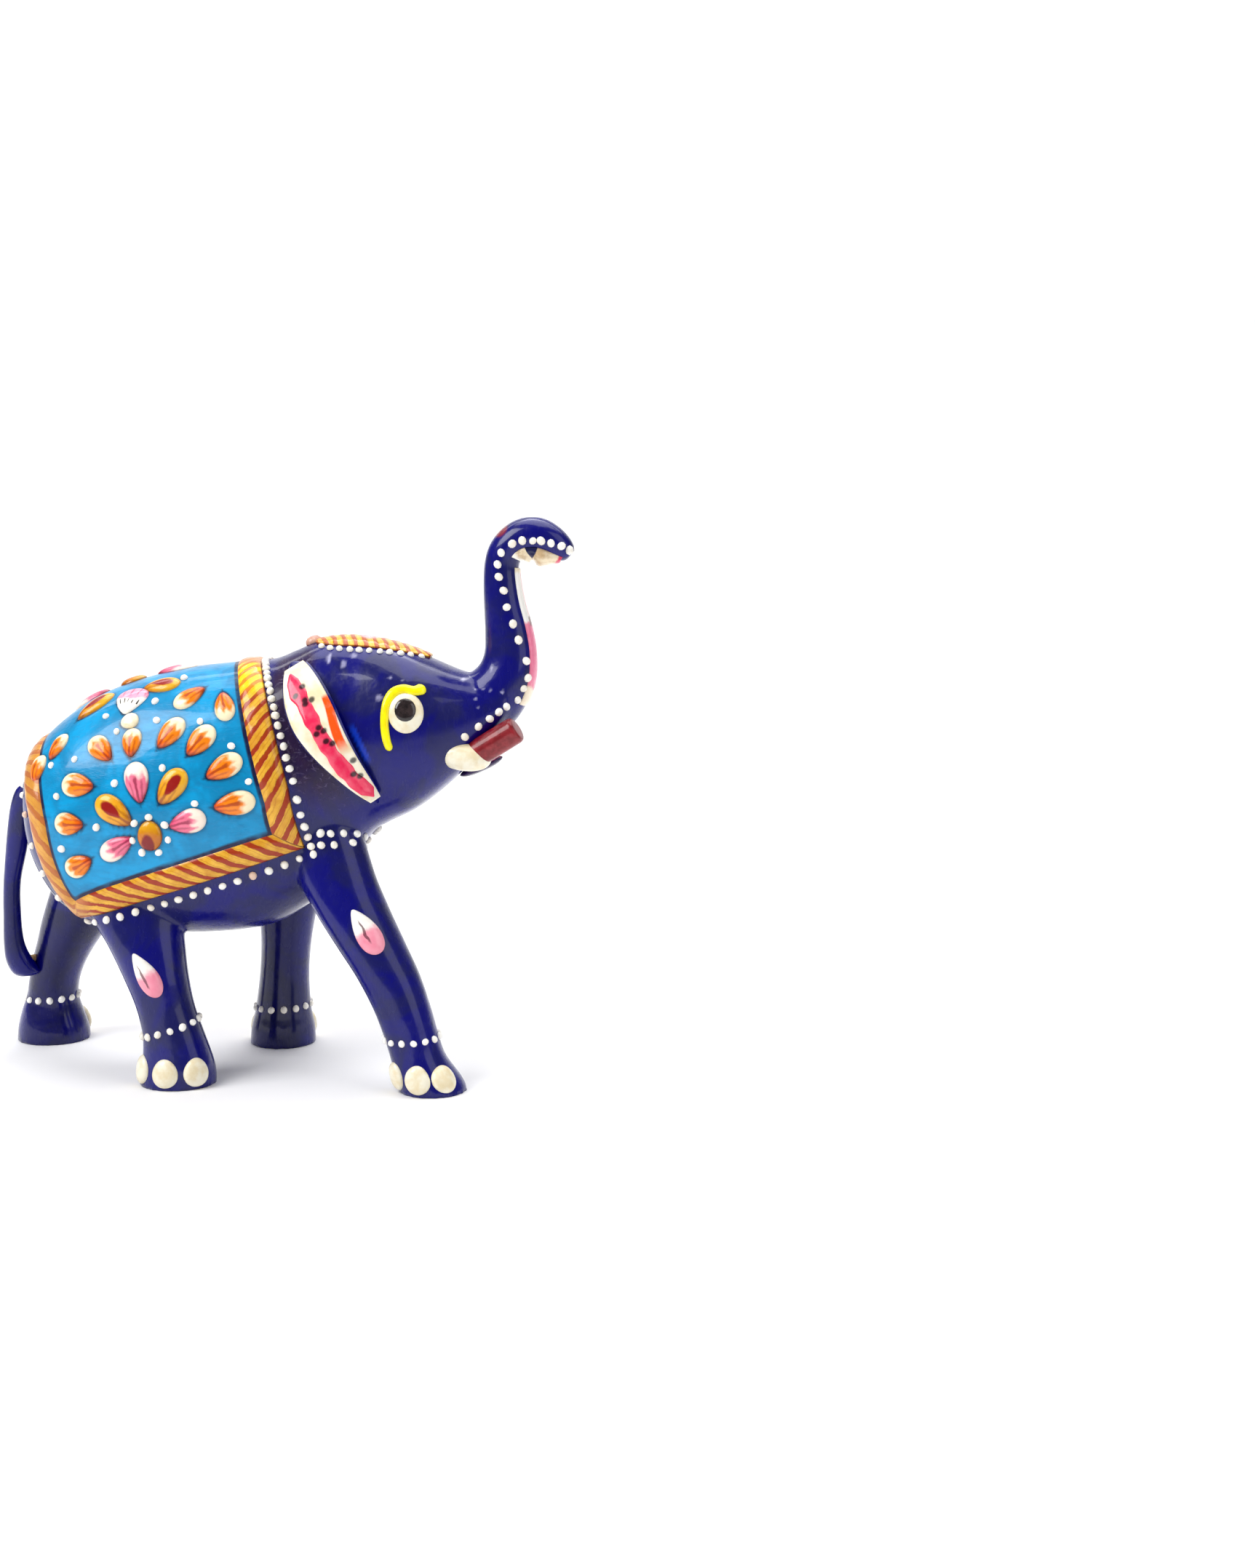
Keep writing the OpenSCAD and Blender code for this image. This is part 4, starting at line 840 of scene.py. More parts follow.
above = cutSkin(skin.data, "above", (0, 0, joints["legZ"]), (0, 0, 1))
below = cutSkin(skin.data, "below", (0, 0, joints["legZ"]), (0, 0, -1))
neckPoint, neckRise = joints["neck"]
trunkPlane, trunkRise = joints["trunk"]
blockOf(cutSkin(above, "carvedTorso", neckPoint, -heading(neckRise)), "carvedTorso", "torso")
front = cutSkin(above, "front", neckPoint, heading(neckRise))
blockOf(cutSkin(front, "carvedHead", trunkPlane, -heading(trunkRise)), "carvedHead", "head")
blockOf(cutSkin(front, "carvedTrunk", trunkPlane, heading(trunkRise)), "carvedTrunk", "trunk")
blockOf(keepBox(below, "rightFrontLeg", lambda p: p.y < 0 and p.x > 5), "rightFrontLeg", "right_front_leg")
blockOf(keepBox(below, "rightHindLeg", lambda p: p.y < 0 and p.x < 5), "rightHindLeg", "right_hind_leg")
blockOf(keepBox(below, "leftFrontLeg", lambda p: p.y > 0 and p.x > -30), "leftFrontLeg", "left_front_leg")
blockOf(keepBox(below, "leftHindLeg", lambda p: p.y > 0 and p.x < -30), "leftHindLeg", "left_hind_leg")
print("blocks cut")


# Tail, lip and tusks

tailShape = {
    "rows": [  # centre, half width fore and aft, half width across
        [-65.6, 0, 78.2, 2.4, 3], [-68.2, 0.4, 76.3, 2.6, 3], [-69.6, 1, 72, 3.2, 2.9],
        [-71.2, 2.4, 65.5, 3.3, 2.8],
        [-73.2, 4.2, 57, 3, 2.6], [-75.4, 6.2, 48, 2.4, 2.6], [-76.6, 8.4, 38.5, 2.4, 2.7],
        [-77.2, 10.4, 30.5, 2.7, 3], [-76.8, 12.2, 25.5, 3.2, 3.4], [-75.2, 13.8, 21.8, 3.4, 3.4],
        [-73, 15, 20.2, 2.4, 2.6]],
}


def makeTail():
    # ellipse rings along the tail's line, drawn in at both ends
    t = np.linspace(0, len(tailShape["rows"]) - 1, 110)
    row = alongRows(tailShape["rows"], t)
    closing = np.sqrt(np.clip(np.minimum(t / 0.35, (t[-1] - t) / 0.5), 0, 1))
    turn = np.arange(32) * -11.25
    rings = row[:, None, :3] + np.stack([
        row[:, 3:4] * closing[:, None] * cosd(turn), row[:, 4:5] * closing[:, None] * sind(turn),
        0.3 * row[:, 3:4] * closing[:, None] * cosd(turn)], -1)
    made = tube("tail", rings)
    return finished(made, "carvedTail", "tail", slot="body_enamel", paint="body")


makeTail()

tusks = {
    "base": (54.8, -9.4, 86), "rise": 32, "spread": 6, "pegD": 7.2, "length": {"right": 15.5, "left": 12.5},
    "tenonD": 3, "tenonLength": 2.2, "rootSize": (15, 10.4, 7.6), "rootShift": (-1.6, 0, 0.6), "rootTilt": -8,
}


def pegAxis():
    rise, spread = np.radians(tusks["rise"]), np.radians(tusks["spread"])
    # +Z turned to the rise, after a small turn outwards
    way = np.array([np.cos(spread) * np.cos(rise), -np.sin(spread), np.cos(spread) * np.sin(rise)])
    return unitOf(way)


def makeTusks():
    # root: ball drawn out along X; peg: profile of radius against length, turned about the peg's line
    for side, word in ((1, "right"), (-1, "left")):
        flip = np.array([1, side, 1])
        lift, turn = np.meshgrid(np.linspace(0.02, 0.98, 30) * 180 - 90, np.arange(48) * 7.5, indexing="ij")
        ball = np.stack([cosd(lift) * cosd(turn), cosd(lift) * sind(turn), sind(lift)], -1)
        ball = np.sign(ball) * np.abs(ball)**0.92 * np.array(tusks["rootSize"]) / 2
        tilt = np.radians(tusks["rootTilt"])
        turned = np.stack([ball[..., 0] * np.cos(tilt) - ball[..., 2] * np.sin(tilt), ball[..., 1],
                           ball[..., 0] * np.sin(tilt) + ball[..., 2] * np.cos(tilt)], -1)
        root = (turned + np.array(tusks["base"]) + np.array(tusks["rootShift"])) * flip
        made = tube("root", root if side > 0 else root[::-1])
        finished(made, word + "TuskRoot", word + "_tusk_root", slot="cream_enamel", paint="cream")
        way = pegAxis()
        up = unitOf(np.cross(way, [0, 1, 0]))
        across = np.cross(way, up)
        r, length = tusks["pegD"] / 2, tusks["length"][word]
        thin, deep = tusks["tenonD"] / 2, tusks["tenonLength"]
        profile = np.array([
            [0.1, -deep], [thin * 0.9, -deep], [thin, -deep + 0.4], [thin, -0.6], [thin, -0.1], [r * 0.95, 0],
            [r, 0.5], [r, 2], [r * 1.01, 7], [r, length - 2.2], [r * 0.97, length - 0.8],
            [r * 0.84, length - 0.15], [r * 0.5, length], [0.1, length]])
        line = alongRows(profile, np.linspace(0, len(profile) - 1, 60))
        around = np.arange(48) * 7.5
        wobble = 1 + 0.012 * sind(3 * around + 40)
        rings = (np.array(tusks["base"]) + way * line[:, None, 1:] + line[:, None, :1] * wobble[None, :, None]
                 * (up * cosd(around)[:, None] + across * sind(around)[:, None])[None]) * flip
        made = tube("peg", rings if side > 0 else rings[:, ::-1])
        finished(made, word + "TuskPeg", word + "_tusk_peg", slot="red_enamel", paint="red")


makeTusks()
print("tusks pressed in")


# Relief shapes: thin plates, pads, domes and beads of paste, all seated on the skin

def stamps(name, rings, values=None):
    # many closed skins of one grid in one mesh: rows run from the top down to the underside,
    # columns anticlockwise seen from above
    count, rows, cols = rings.shape[:3]

    def ends(grid):
        return np.stack([grid[:, 0].mean(1), grid[:, -1].mean(1)], 1)

    points = np.concatenate([rings.reshape(count, -1, 3), ends(rings)], 1)
    shift = np.arange(count)[:, None, None] * (rows * cols + 2)
    quads = (squares(rows, cols, False, True)[None] + shift).reshape(-1, 4)
    tris = (fans(rows, cols)[None] + shift).reshape(-1, 3)
    held = {key: np.concatenate([np.broadcast_to(v, rings.shape[:3]).reshape(count, -1),
                                 ends(np.broadcast_to(v, rings.shape[:3]))], 1)
            for key, v in (values or {}).items()}
    return placeMesh(name, points, [quads, tris], held)


def domes(name, at, radius, height=0.62, sides=10, lift=0.0, values=None):
    # drops of enamel: rings that close in as they rise, each a little out of round
    base, out = onSkin(at)
    radius = np.broadcast_to(radius, len(base))[:, None, None]
    first = unitOf(np.cross(out, [0.13, 0.27, 0.95]))
    second = np.cross(out, first)
    turn = np.arange(sides) * 360 / sides
    outline = dropShape["profile"]
    wobble = 1 + 0.07 * cosd(2 * turn[None, None] + dice.uniform(0, 360, (len(base), 1, 1)))
    reach = radius * outline[None, :, :1] * wobble
    rings = (first[:, None, None] * (reach * cosd(turn))[..., None]
             + second[:, None, None] * (reach * sind(turn))[..., None] + base[:, None, None]
             + out[:, None, None] * (lift + height * radius * outline[None, :, 1:])[..., None])
    marks = {key: np.asarray(v)[:, None, None] for key, v in (values or {}).items()}
    return stamps(name, rings, marks)


dropShape = {
    "profile": np.array([[0.3, 0.98], [0.64, 0.84], [0.9, 0.5], [1, 0.12], [0.97, -0.12]]),
    "height": 0.9,
    "jitter": 0.09,
    "shift": 0.1,
}


def jittered(count, size):
    return size / 2 * (1 + dice.uniform(-1, 1, count) * dropShape["jitter"])


def nudged(points):
    return points + dice.uniform(-1, 1, points.shape) * dropShape["shift"]


def whiteDots(name, node, at, size, lift=0.0):
    made = domes(name, nudged(at), jittered(len(at), size), dropShape["height"], lift=lift)
    return finished(made, name, node, slot="white_dots", paint="white")


def bothSides(rows, place):
    # places on the right half and on the left half; the side is -1 on the right
    rows = np.asarray(rows, float)
    right, left = place(rows, 1), place(rows, -1)
    return np.concatenate([right, left]), np.repeat([-1.0, 1.0], len(rows)), np.concatenate([rows, rows])


def sideSpot(rows, sign):
    return flankPoint(rows[:, 0], sign * bodyTurn(rows[:, 0], rows[:, 1]))


def bodySpot(rows, sign):
    return bodyPoint(rows[:, 0], sign * bodyTurn(rows[:, 0], rows[:, 1]))


def padFrame(at, side, lean):
    # seat, way out, way to the tip and way across it; lean is the tip's angle in side view
    base, out = onSkin(at)
    forward = unitOf(np.array([1.0, 0, 0]) - out * out[..., :1])
    upward = -side[:, None] * np.cross(out, forward)
    tip = forward * cosd(lean)[:, None] + upward * sind(lean)[:, None]
    return base, out, tip, np.cross(out, tip)


padShape = {
    "profile": np.array([[0.1, 1], [0.26, 0.985], [0.42, 0.94], [0.58, 0.86], [0.72, 0.73], [0.84, 0.55],
                         [0.93, 0.33], [0.985, 0.1], [1, -0.12]]),
    "steps": 44,
}


def padRings(at, side, lean, length, width, sharpness, height, lift):
    # teardrop outline, its width drawn in towards the tip, swollen like a loaf
    base, out, tip, across = padFrame(at, side, lean)
    length, width, sharpness = (np.broadcast_to(v, len(base))[:, None, None]
                                for v in (length, width, sharpness))
    turn = np.arange(padShape["steps"]) * 360 / padShape["steps"]
    share = padShape["profile"][None, :, :1]
    taper = 1 - sharpness * ((1 + cosd(turn)) / 2)**1.5
    along = share * cosd(turn) + 0 * length
    aside = share * sind(turn) + 0 * length
    flat = (base[:, None, None] + tip[:, None, None] * (along * length / 2)[..., None]
            + across[:, None, None] * (aside * taper * width / 2)[..., None])
    seat, way = onSkin(flat)
    rings = seat + way * (lift + height * padShape["profile"][:, 1])[None, :, None, None]
    return rings, {"along": 0.5 + along / 2, "across": aside, "rim": share + 0 * along}


def seatPads(name, at, side, lean, length, width, sharpness, height, lift):
    # pads on the cloth, noted down for the dark rings painted round them, part outline and part painted shade
    noted = tuple(np.broadcast_to(v, len(at)) for v in (length, width, float(sharpness)))
    petalPlaces.append(padFrame(at, side, lean) + noted)
    return stamps(name, *padRings(at, side, lean, length, width, sharpness, height, lift))


def pads(name, rows, height, lift, sharpness):
    at, side, rows = bothSides(rows, sideSpot)
    size = clothShape["petal"]
    return seatPads(name, at, side, rows[:, 2], rows[:, 3] * size, rows[:, 4] * size, sharpness, height, lift)


def plate(name, grid, thickness, values=None, lift=0.0, sink=0.15):
    # thin plate on the skin; the grid's rows cross its columns anticlockwise seen from outside
    seat, way = onSkin(grid)
    thickness = np.broadcast_to(thickness, grid.shape[:2])[..., None]
    return slab(name, seat + way * (lift + thickness), seat + way * (lift - sink), values)


def bead(name, path, halfWidth, height, steps=16):
    # rounded line of paste along a path on the skin, drawn in at its ends
    seat, way = onSkin(path)
    across = unitOf(np.cross(way, unitOf(np.gradient(seat, axis=0))))
    turn = np.arange(steps) * 360 / steps
    rise = np.maximum(sind(turn), -0.15)[None, :, None]
    rings = (seat[:, None] + across[:, None] * halfWidth[:, None, None] * cosd(turn)[None, :, None]
             + way[:, None] * height[:, None, None] * rise)
    return tube(name, rings)


# Saddle cloth

clothShape = {
    "frontX": -1.8,
    "frontSweep": 14.7,
    "frontPower": 1.2,
    "rearX": -65.2,
    "rearSweep": 17.6,
    "rearHold": 0.35,
    "hemZ": 59.2,
    "hemSlope": 0.33,
    "lowestTurn": 150,
    "frontBand": 0.105,
    "rearBand": 0.095,
    "cornerGain": 0.06,
    "hemBand": 0.105,
    "thick": 0.5,
    "tuck": 0.6,
    "bandHeight": 1.3,
    "petal": 9.4,
    "petalHeight": 1.3,
    "edgeDot": 2.2,
    "fieldDot": 2,
}
petalPlaces = []


def clothPoint(u, v):
    # u from the rear edge to the front edge, v from the left hem over the spine to the right hem
    u, v = np.broadcast_arrays(np.asarray(u, float), np.asarray(v, float))
    front = clothShape["frontX"] + clothShape["frontSweep"] * np.abs(v)**clothShape["frontPower"]
    rear = clothShape["rearX"] + clothShape["rearSweep"] * v**2 * (1 - clothShape["rearHold"] * (1 - v**2))
    x = rear + (front - rear) * u
    hem = np.minimum(bodyTurn(x, clothShape["hemZ"] + clothShape["hemSlope"] * x), clothShape["lowestTurn"])
    return flankPoint(x, v * hem)


def hemShare(u, tuck=1):
    # how far down the panel reaches, drawn in a little more at the rear corner
    return 1 - tuck * (clothShape["hemBand"] + clothShape["cornerGain"] * (1 - u)**2)


petalRows = {  # X, Z, direction of the tip, length and width as shares, on the right half
    "orange": [
        [-52.4, 89.1, 235, 0.85, 0.6], [-58, 83.2, 260, 0.85, 0.72], [-39.5, 89.3, 315, 0.95, 0.72],
        [-31.1, 91.1, 270, 0.85, 0.66], [-21, 93.6, 235, 1.05, 0.72], [-13, 91.8, 232, 1.05, 0.76],
        [-6.6, 85.2, 212, 1.1, 0.76], [-3.9, 75.9, 190, 1.15, 0.78], [-45.3, 80.1, 355, 1, 0.78],
        [-47.7, 70.1, 0, 0.9, 0.74], [-45.5, 59.2, 30, 0.9, 0.72], [-17.4, 102.2, 42, 1, 0.68],
        [-7.7, 100.2, 105, 0.95, 0.66]],
    "gold": [
        [-19.9, 80.3, 235, 1.15, 0.8], [-35.2, 73.8, 325, 1.2, 0.84], [-26, 104.7, 180, 1.1, 0.72],
        [-44.1, 99.2, 218, 1.25, 0.72]],
    "pink": [
        [-29, 81.3, 280, 1.15, 0.82], [-15.9, 71.3, 195, 1.05, 0.8], [-34.7, 64.3, 32, 1.08, 0.72]],
    "heart": [[-25.8, 67.6, 90, 0.85, 0.72]],
    "tulip": [[-33.6, 101, 262, 1.02, 1.2]],
    "tulipBase": [[-32.4, 96.3, 262, 0.5, 0.48]],
}
spinePads = {"petals": [[-25, 180], [-48.5, 0]], "petalSize": (1.2, 0.75),
             "heartX": -37, "heartSize": (0.8, 0.72)}
fieldDots = [
    [-20.5, 106.5], [-26.5, 101], [-39.5, 97], [-25, 96.5], [-13.5, 96.5], [-35.5, 93.5], [-5, 90.5],
    [-46.5, 86.5], [-53.5, 84.5], [-22.5, 85], [-0.5, 81.5], [-35, 81], [-51, 77], [-14, 76], [-26, 72.5],
    [-29.8, 70.8], [-21.8, 70.4], [-40, 69.5], [-50, 63.5], [-30.4, 66.3], [-21, 66.6], [-28, 63.2],
    [-23.7, 63.2]]
petalHeight, petalLift = clothShape["petalHeight"], clothShape["thick"] - 0.05

for key, sharpness in (("orange", 0.45), ("gold", 0.4), ("pink", 0.5)):
    made = pads(key + "Petals", petalRows[key], petalHeight, petalLift, sharpness)
    finished(made, key + "Petals", key + "_petals", slot=key + "_enamel", paint=key)


def spineRings(rows, size):
    rows = np.array(rows, float)
    length, width = np.array(size) * clothShape["petal"]
    return seatPads("spinePads", bodyPoint(rows[:, 0], 0 * rows[:, 0]), np.full(len(rows), -1.0), rows[:, 1],
                    length, width, 0.3, petalHeight, petalLift)


finished(join("flowerHearts", [pads("heart", petalRows["heart"], petalHeight, petalLift, 0.1),
                               spineRings([[spinePads["heartX"], 0]], spinePads["heartSize"])]),
         "flowerHearts", "flower_hearts", slot="amber_enamel", paint="heart")
finished(pads("tulips", petalRows["tulip"], petalHeight, petalLift, 0.6), "tulipBlossoms", "top_flower",
         slot="pink_enamel", paint="tulip")
finished(spineRings(spinePads["petals"], spinePads["petalSize"]), "spinePetals", "top_flower",
         slot="pink_enamel", paint="pink")
finished(pads("tulipBases", petalRows["tulipBase"], petalHeight * 0.8, petalLift, -0.3), "tulipBases",
         "tulip_bases", slot="cream_enamel", paint="cream")
print("petals seated:", sum(len(p[0]) for p in petalPlaces))


def petalRingsAndShade(points):
    # how strongly each point lies on the dark ring round a petal, part painted outline and part painted shade
    # that grows towards the tip, and on the dark line that runs on from its tip
    strength = np.zeros(points.shape[:-1])
    for group in petalPlaces:
        for base, out, tip, across, length, width, sharpness in zip(*group):
            gap = points - base
            a, b, c = gap @ tip, gap @ across, gap @ out
            a0, b0 = a / (length / 2), b / (width / 2)
            lean = a0 / np.maximum(np.hypot(a0, b0), 1e-6)
            rho = np.hypot(a0, b0 / (1 - sharpness * ((1 + lean) / 2)**1.5))
            away = (1 - 1 / np.maximum(rho, 0.2)) * np.hypot(a, b)
            # painted shade: the ring darkens towards the petal's tip
            weight = 0.4 + 0.6 * smoothStep(lean, -0.2, 0.9)
            ring = weight * (1 - smoothStep(away, 0.12, 0.4 + 0.5 * weight))
            stem = ((1 - smoothStep(np.abs(b), 0.12, 0.42)) * (a > 0)
                    * (1 - smoothStep(a - length / 2, 0.6, 1.7)))
            strength = np.maximum(strength, np.where(np.abs(c) < 5, np.maximum(ring, 0.85 * stem), 0))
    return strength


def makeCloth():
    # plate over the back, its edge tucked under the border
    tuck = clothShape["tuck"]
    u = np.linspace(clothShape["rearBand"] * tuck, 1 - clothShape["frontBand"] * tuck, 168)[:, None]
    v = np.linspace(-1, 1, 236)[None] * hemShare(u, tuck)
    grid = clothPoint(u, v)
    across = np.linalg.norm(np.gradient(grid, axis=0), axis=-1) / np.gradient(u[:, 0])[:, None]
    down = np.linalg.norm(np.gradient(grid, axis=1), axis=-1) / np.gradient(v, axis=1)
    rearGap, frontGap = u - clothShape["rearBand"], 1 - clothShape["frontBand"] - u
    edge = np.minimum(np.minimum(rearGap * across, frontGap * across), (hemShare(u) - np.abs(v)) * down)
    rim = 1 - smoothStep(edge, 0.25, 0.75)
    made = plate("saddleCloth", grid, clothShape["thick"], {"outline": petalRingsAndShade(grid), "rim": rim})
    return finished(made, "saddleCloth", "saddle_cloth", slot="cloth_enamel", paint="cloth")


makeCloth()


def makeBorder():
    # closed band round the cloth: a low rounded profile carried round the four edges
    front, hem, rear = 300, 150, 250
    one = np.ones
    vDown, uBack = np.arange(front) / front * 2 - 1, 1 - np.arange(hem) / hem
    vUp, uOn = 1 - 2 * np.arange(rear) / rear, np.arange(hem) / hem
    u = np.concatenate([one(front), uBack, np.zeros(rear), uOn])
    v = np.concatenate([vDown, one(hem), vUp, -one(hem)])
    part = np.repeat([0, 1, 2, 3], [front, hem, rear, hem])
    innerU = clothShape["rearBand"] + (1 - clothShape["rearBand"] - clothShape["frontBand"]) * u
    innerV = v * hemShare(innerU)
    w = np.linspace(0, 1, 15)[None]
    grid = clothPoint(u[:, None] * (1 - w) + innerU[:, None] * w, v[:, None] * (1 - w) + innerV[:, None] * w)
    line = grid[:, 7]
    step = np.linalg.norm(np.diff(line, axis=0, append=line[:1]), axis=1)
    run = np.concatenate([[0], np.cumsum(step)[:-1]])
    starts = [np.abs(run - run[front // 2]), run - run[front], np.abs(run - run[front + hem + rear // 2])]
    fromStart = np.select([part == 0, part == 1, part == 2], starts, run[-1] + step[-1] - run)
    reach = np.where(part % 2 == 0, np.abs(v), 1 - u)[:, None]
    innerReach = np.where(part % 2 == 0, np.abs(innerV), 1 - innerU)[:, None]
    sideLength = np.array([fromStart[part == k].max() for k in range(4)])[part][:, None]
    fromStart = sideLength * (reach * (1 - w) + innerReach * w)
    period = np.select([part == 0, part % 2 == 1], [3.9, 4.3], 4.6)
    slant = np.select([part == 0, part % 2 == 1], [1.5, 1.75], 1.1)
    lane = fromStart / period[:, None] - w * slant[:, None]
    yellow = smoothStep(np.abs(v), 0.1, 0.16) * (1 - smoothStep(np.abs(v), 0.33, 0.42))
    bright = np.where(part == 0, yellow, 0)
    faded = np.select([part == 0, part == 2], [1 - smoothStep(np.abs(v), 0.09, 0.15), 0.62 + 0 * v],
                      0.6 * (1 - smoothStep(u, 0.02, 0.1)))
    seat, way = onSkin(grid)
    crown = (1 - np.abs(2 * w - 1)**2.6)**0.8
    ripple = 0.06 * np.sin(2 * np.pi * lane) * crown
    rise = clothShape["bandHeight"] * crown * (1 + 0.04 * np.sin(run / 5.3))[:, None] + ripple
    top = seat + way * rise[..., None]
    footCols, sink = [12, 7, 2], 0.2
    under = seat[:, footCols] - way[:, footCols] * sink
    rings = np.concatenate([top, under], 1)[:, ::-1]

    def ringValues(grid):
        return np.concatenate([grid, grid[:, footCols]], 1)[:, ::-1]

    full = np.ones_like(lane)
    made = placeMesh("clothBorder", rings, [squares(len(u), rings.shape[1], True, True)], {
        "lane": ringValues(lane), "across": ringValues(w * full),
        "bright": ringValues(bright[:, None] * full), "faded": ringValues(faded[:, None] * full)})
    return finished(made, "clothBorder", "cloth_border", slot="gold_enamel", paint="border")


makeBorder()
print("saddle cloth and border laid")

edgeDots = {"front": 22, "hem": 16, "rear": 10, "frontOffset": 1.014, "frontSpread": 0.014,
            "hemOffset": 1.045, "rearOffset": -0.03}


def makeClothDots():
    a, b, c = edgeDots["front"], edgeDots["hem"], edgeDots["rear"]
    far, near = edgeDots["frontOffset"] + edgeDots["frontSpread"], edgeDots["rearOffset"]
    down = np.arange(-a, a + 1) / a
    front = np.stack([edgeDots["frontOffset"] + edgeDots["frontSpread"] * down**2, down], 1)
    hem = np.stack([near + (far - near) * np.arange(b + 1) / b, np.full(b + 1, edgeDots["hemOffset"])], 1)
    rear = np.stack([np.full(2 * c - 1, near), np.arange(1 - c, c) / c], 1)
    spots = np.concatenate([front, hem, hem * [1, -1], rear])
    at = nudged(clothPoint(spots[:, 0], spots[:, 1]))
    tint = np.where(dice.uniform(0, 1, len(at)) < 0.13, dice.uniform(0.4, 1, len(at)), 0)
    tint[:2 * a + 1] *= 0.3
    made = domes("clothEdgeDots", at, jittered(len(at), clothShape["edgeDot"]), dropShape["height"],
                 values={"tint": tint})
    finished(made, "clothEdgeDots", "cloth_edge_dots", slot="white_dots", paint="white")
    whiteDots("fieldDots", "field_dots", bothSides(fieldDots, sideSpot)[0], clothShape["fieldDot"], petalLift)


makeClothDots()

# Head cloth, its dots and the bead behind it

headCloth = {"from": 13.5, "to": 43.5, "turn": 21, "thick": 0.9, "dots": 11, "dotOffset": 1.2,
             "knobX": 12.2, "knob": 4.6}


def headPoint(u, v):
    u, v = np.broadcast_arrays(np.asarray(u, float), np.asarray(v, float))
    half = headCloth["turn"] * np.sqrt(sind(180 * (0.03 + 0.94 * u)**0.8))
    return bodyPoint(headCloth["from"] + (headCloth["to"] - headCloth["from"]) * u, v * half)


def makeHeadCloth():
    u, v = np.linspace(0, 1, 90)[:, None], np.linspace(-1, 1, 60)[None]
    grid = headPoint(u, v)
    values = {"lane": u * 11 - 0.9 * np.abs(v), "across": 0.5 + 0.49 * v**3, "bright": 0.25,
              "faded": 0.5 * (1 - smoothStep(u, 0, 0.12)),
              "rose": 1 - smoothStep(np.hypot((u - 0.45) * 9, v * 1.6), 0.5, 0.9)}
    thick = headCloth["thick"] * (1 - 0.5 * v**4) * (1 + 0.08 * np.sin(2 * np.pi * values["lane"]))
    made = plate("headCloth", grid, thick, values)
    finished(made, "headCloth", "head_cloth", slot="gold_enamel", paint="border")
    i = np.arange(headCloth["dots"]) / (headCloth["dots"] - 1)
    spots = np.concatenate([headPoint(0.06 + 0.88 * i, headCloth["dotOffset"] + 0 * i),
                            headPoint(0.06 + 0.88 * i, -headCloth["dotOffset"] + 0 * i)])
    size = jittered(len(spots), 0.85 * clothShape["edgeDot"])
    made = domes("headClothDots", nudged(spots), size, dropShape["height"])
    finished(made, "headClothDots", "head_cloth_dots", slot="white_dots", paint="white")
    knob = domes("headKnob", bodyPoint([headCloth["knobX"]], [0]), [headCloth["knob"] / 2], 0.84, 36)
    finished(knob, "headKnob", "head_knob", slot="knob_enamel", paint="knob")


makeHeadCloth()

# Eyes and brows

eye = {"spot": [39.5, 98.8], "size": (11, 9.4), "height": 0.9, "pupil": [39.3, 99.4], "pupilSize": (6, 5.4),
       "pupilHeight": 0.5, "browHeight": 0.85}
browRows = [
    [44, 105], [41.5, 104.3], [38.5, 104.8], [36, 103.8], [34.4, 101], [34, 96.5], [34.5, 92], [35.5, 89]]
browWidths = [[0, 1.9], [1, 1.35], [2, 1.3], [3, 1.35], [4, 1.15], [5, 1.1], [6, 1.1], [7, 0.95]]


def makeEyes():
    at, side, _ = bothSides([eye["spot"]], sideSpot)
    down = np.full(2, -90.0)
    made = stamps("eyeWhites", *padRings(at, side, down, *eye["size"], 0, eye["height"], 0))
    finished(made, "eyeWhites", "eye_whites", slot="cream_enamel", paint="cream")
    at, side, _ = bothSides([eye["pupil"]], sideSpot)
    seat = eye["height"] * 0.9
    made = stamps("pupils", *padRings(at, side, down, *eye["pupilSize"], 0, eye["pupilHeight"], seat))
    finished(made, "pupils", "pupils", slot="black_enamel", paint="black")
    t = np.linspace(0, len(browRows) - 1, 120)
    line = alongRows(browRows, t)
    closing = np.sqrt(np.clip(np.minimum(t / 0.5, (t[-1] - t) / 0.35), 0.0004, 1))
    wide = throughRows(browWidths, t)[:, 1] * closing
    path = bodyPoint(line[:, 0], bodyTurn(line[:, 0], line[:, 1]))
    high = eye["browHeight"] * (0.6 + 0.4 * wide / 1.7) * closing**0.5
    right = bead("brow", path[::-1], wide[::-1], high[::-1])
    left = bead("brow", path * [1, -1, 1], wide, high)
    finished(join("eyebrows", [right, left]), "eyebrows", "eyebrows", slot="yellow_enamel", paint="yellow")


makeEyes()

# Ears

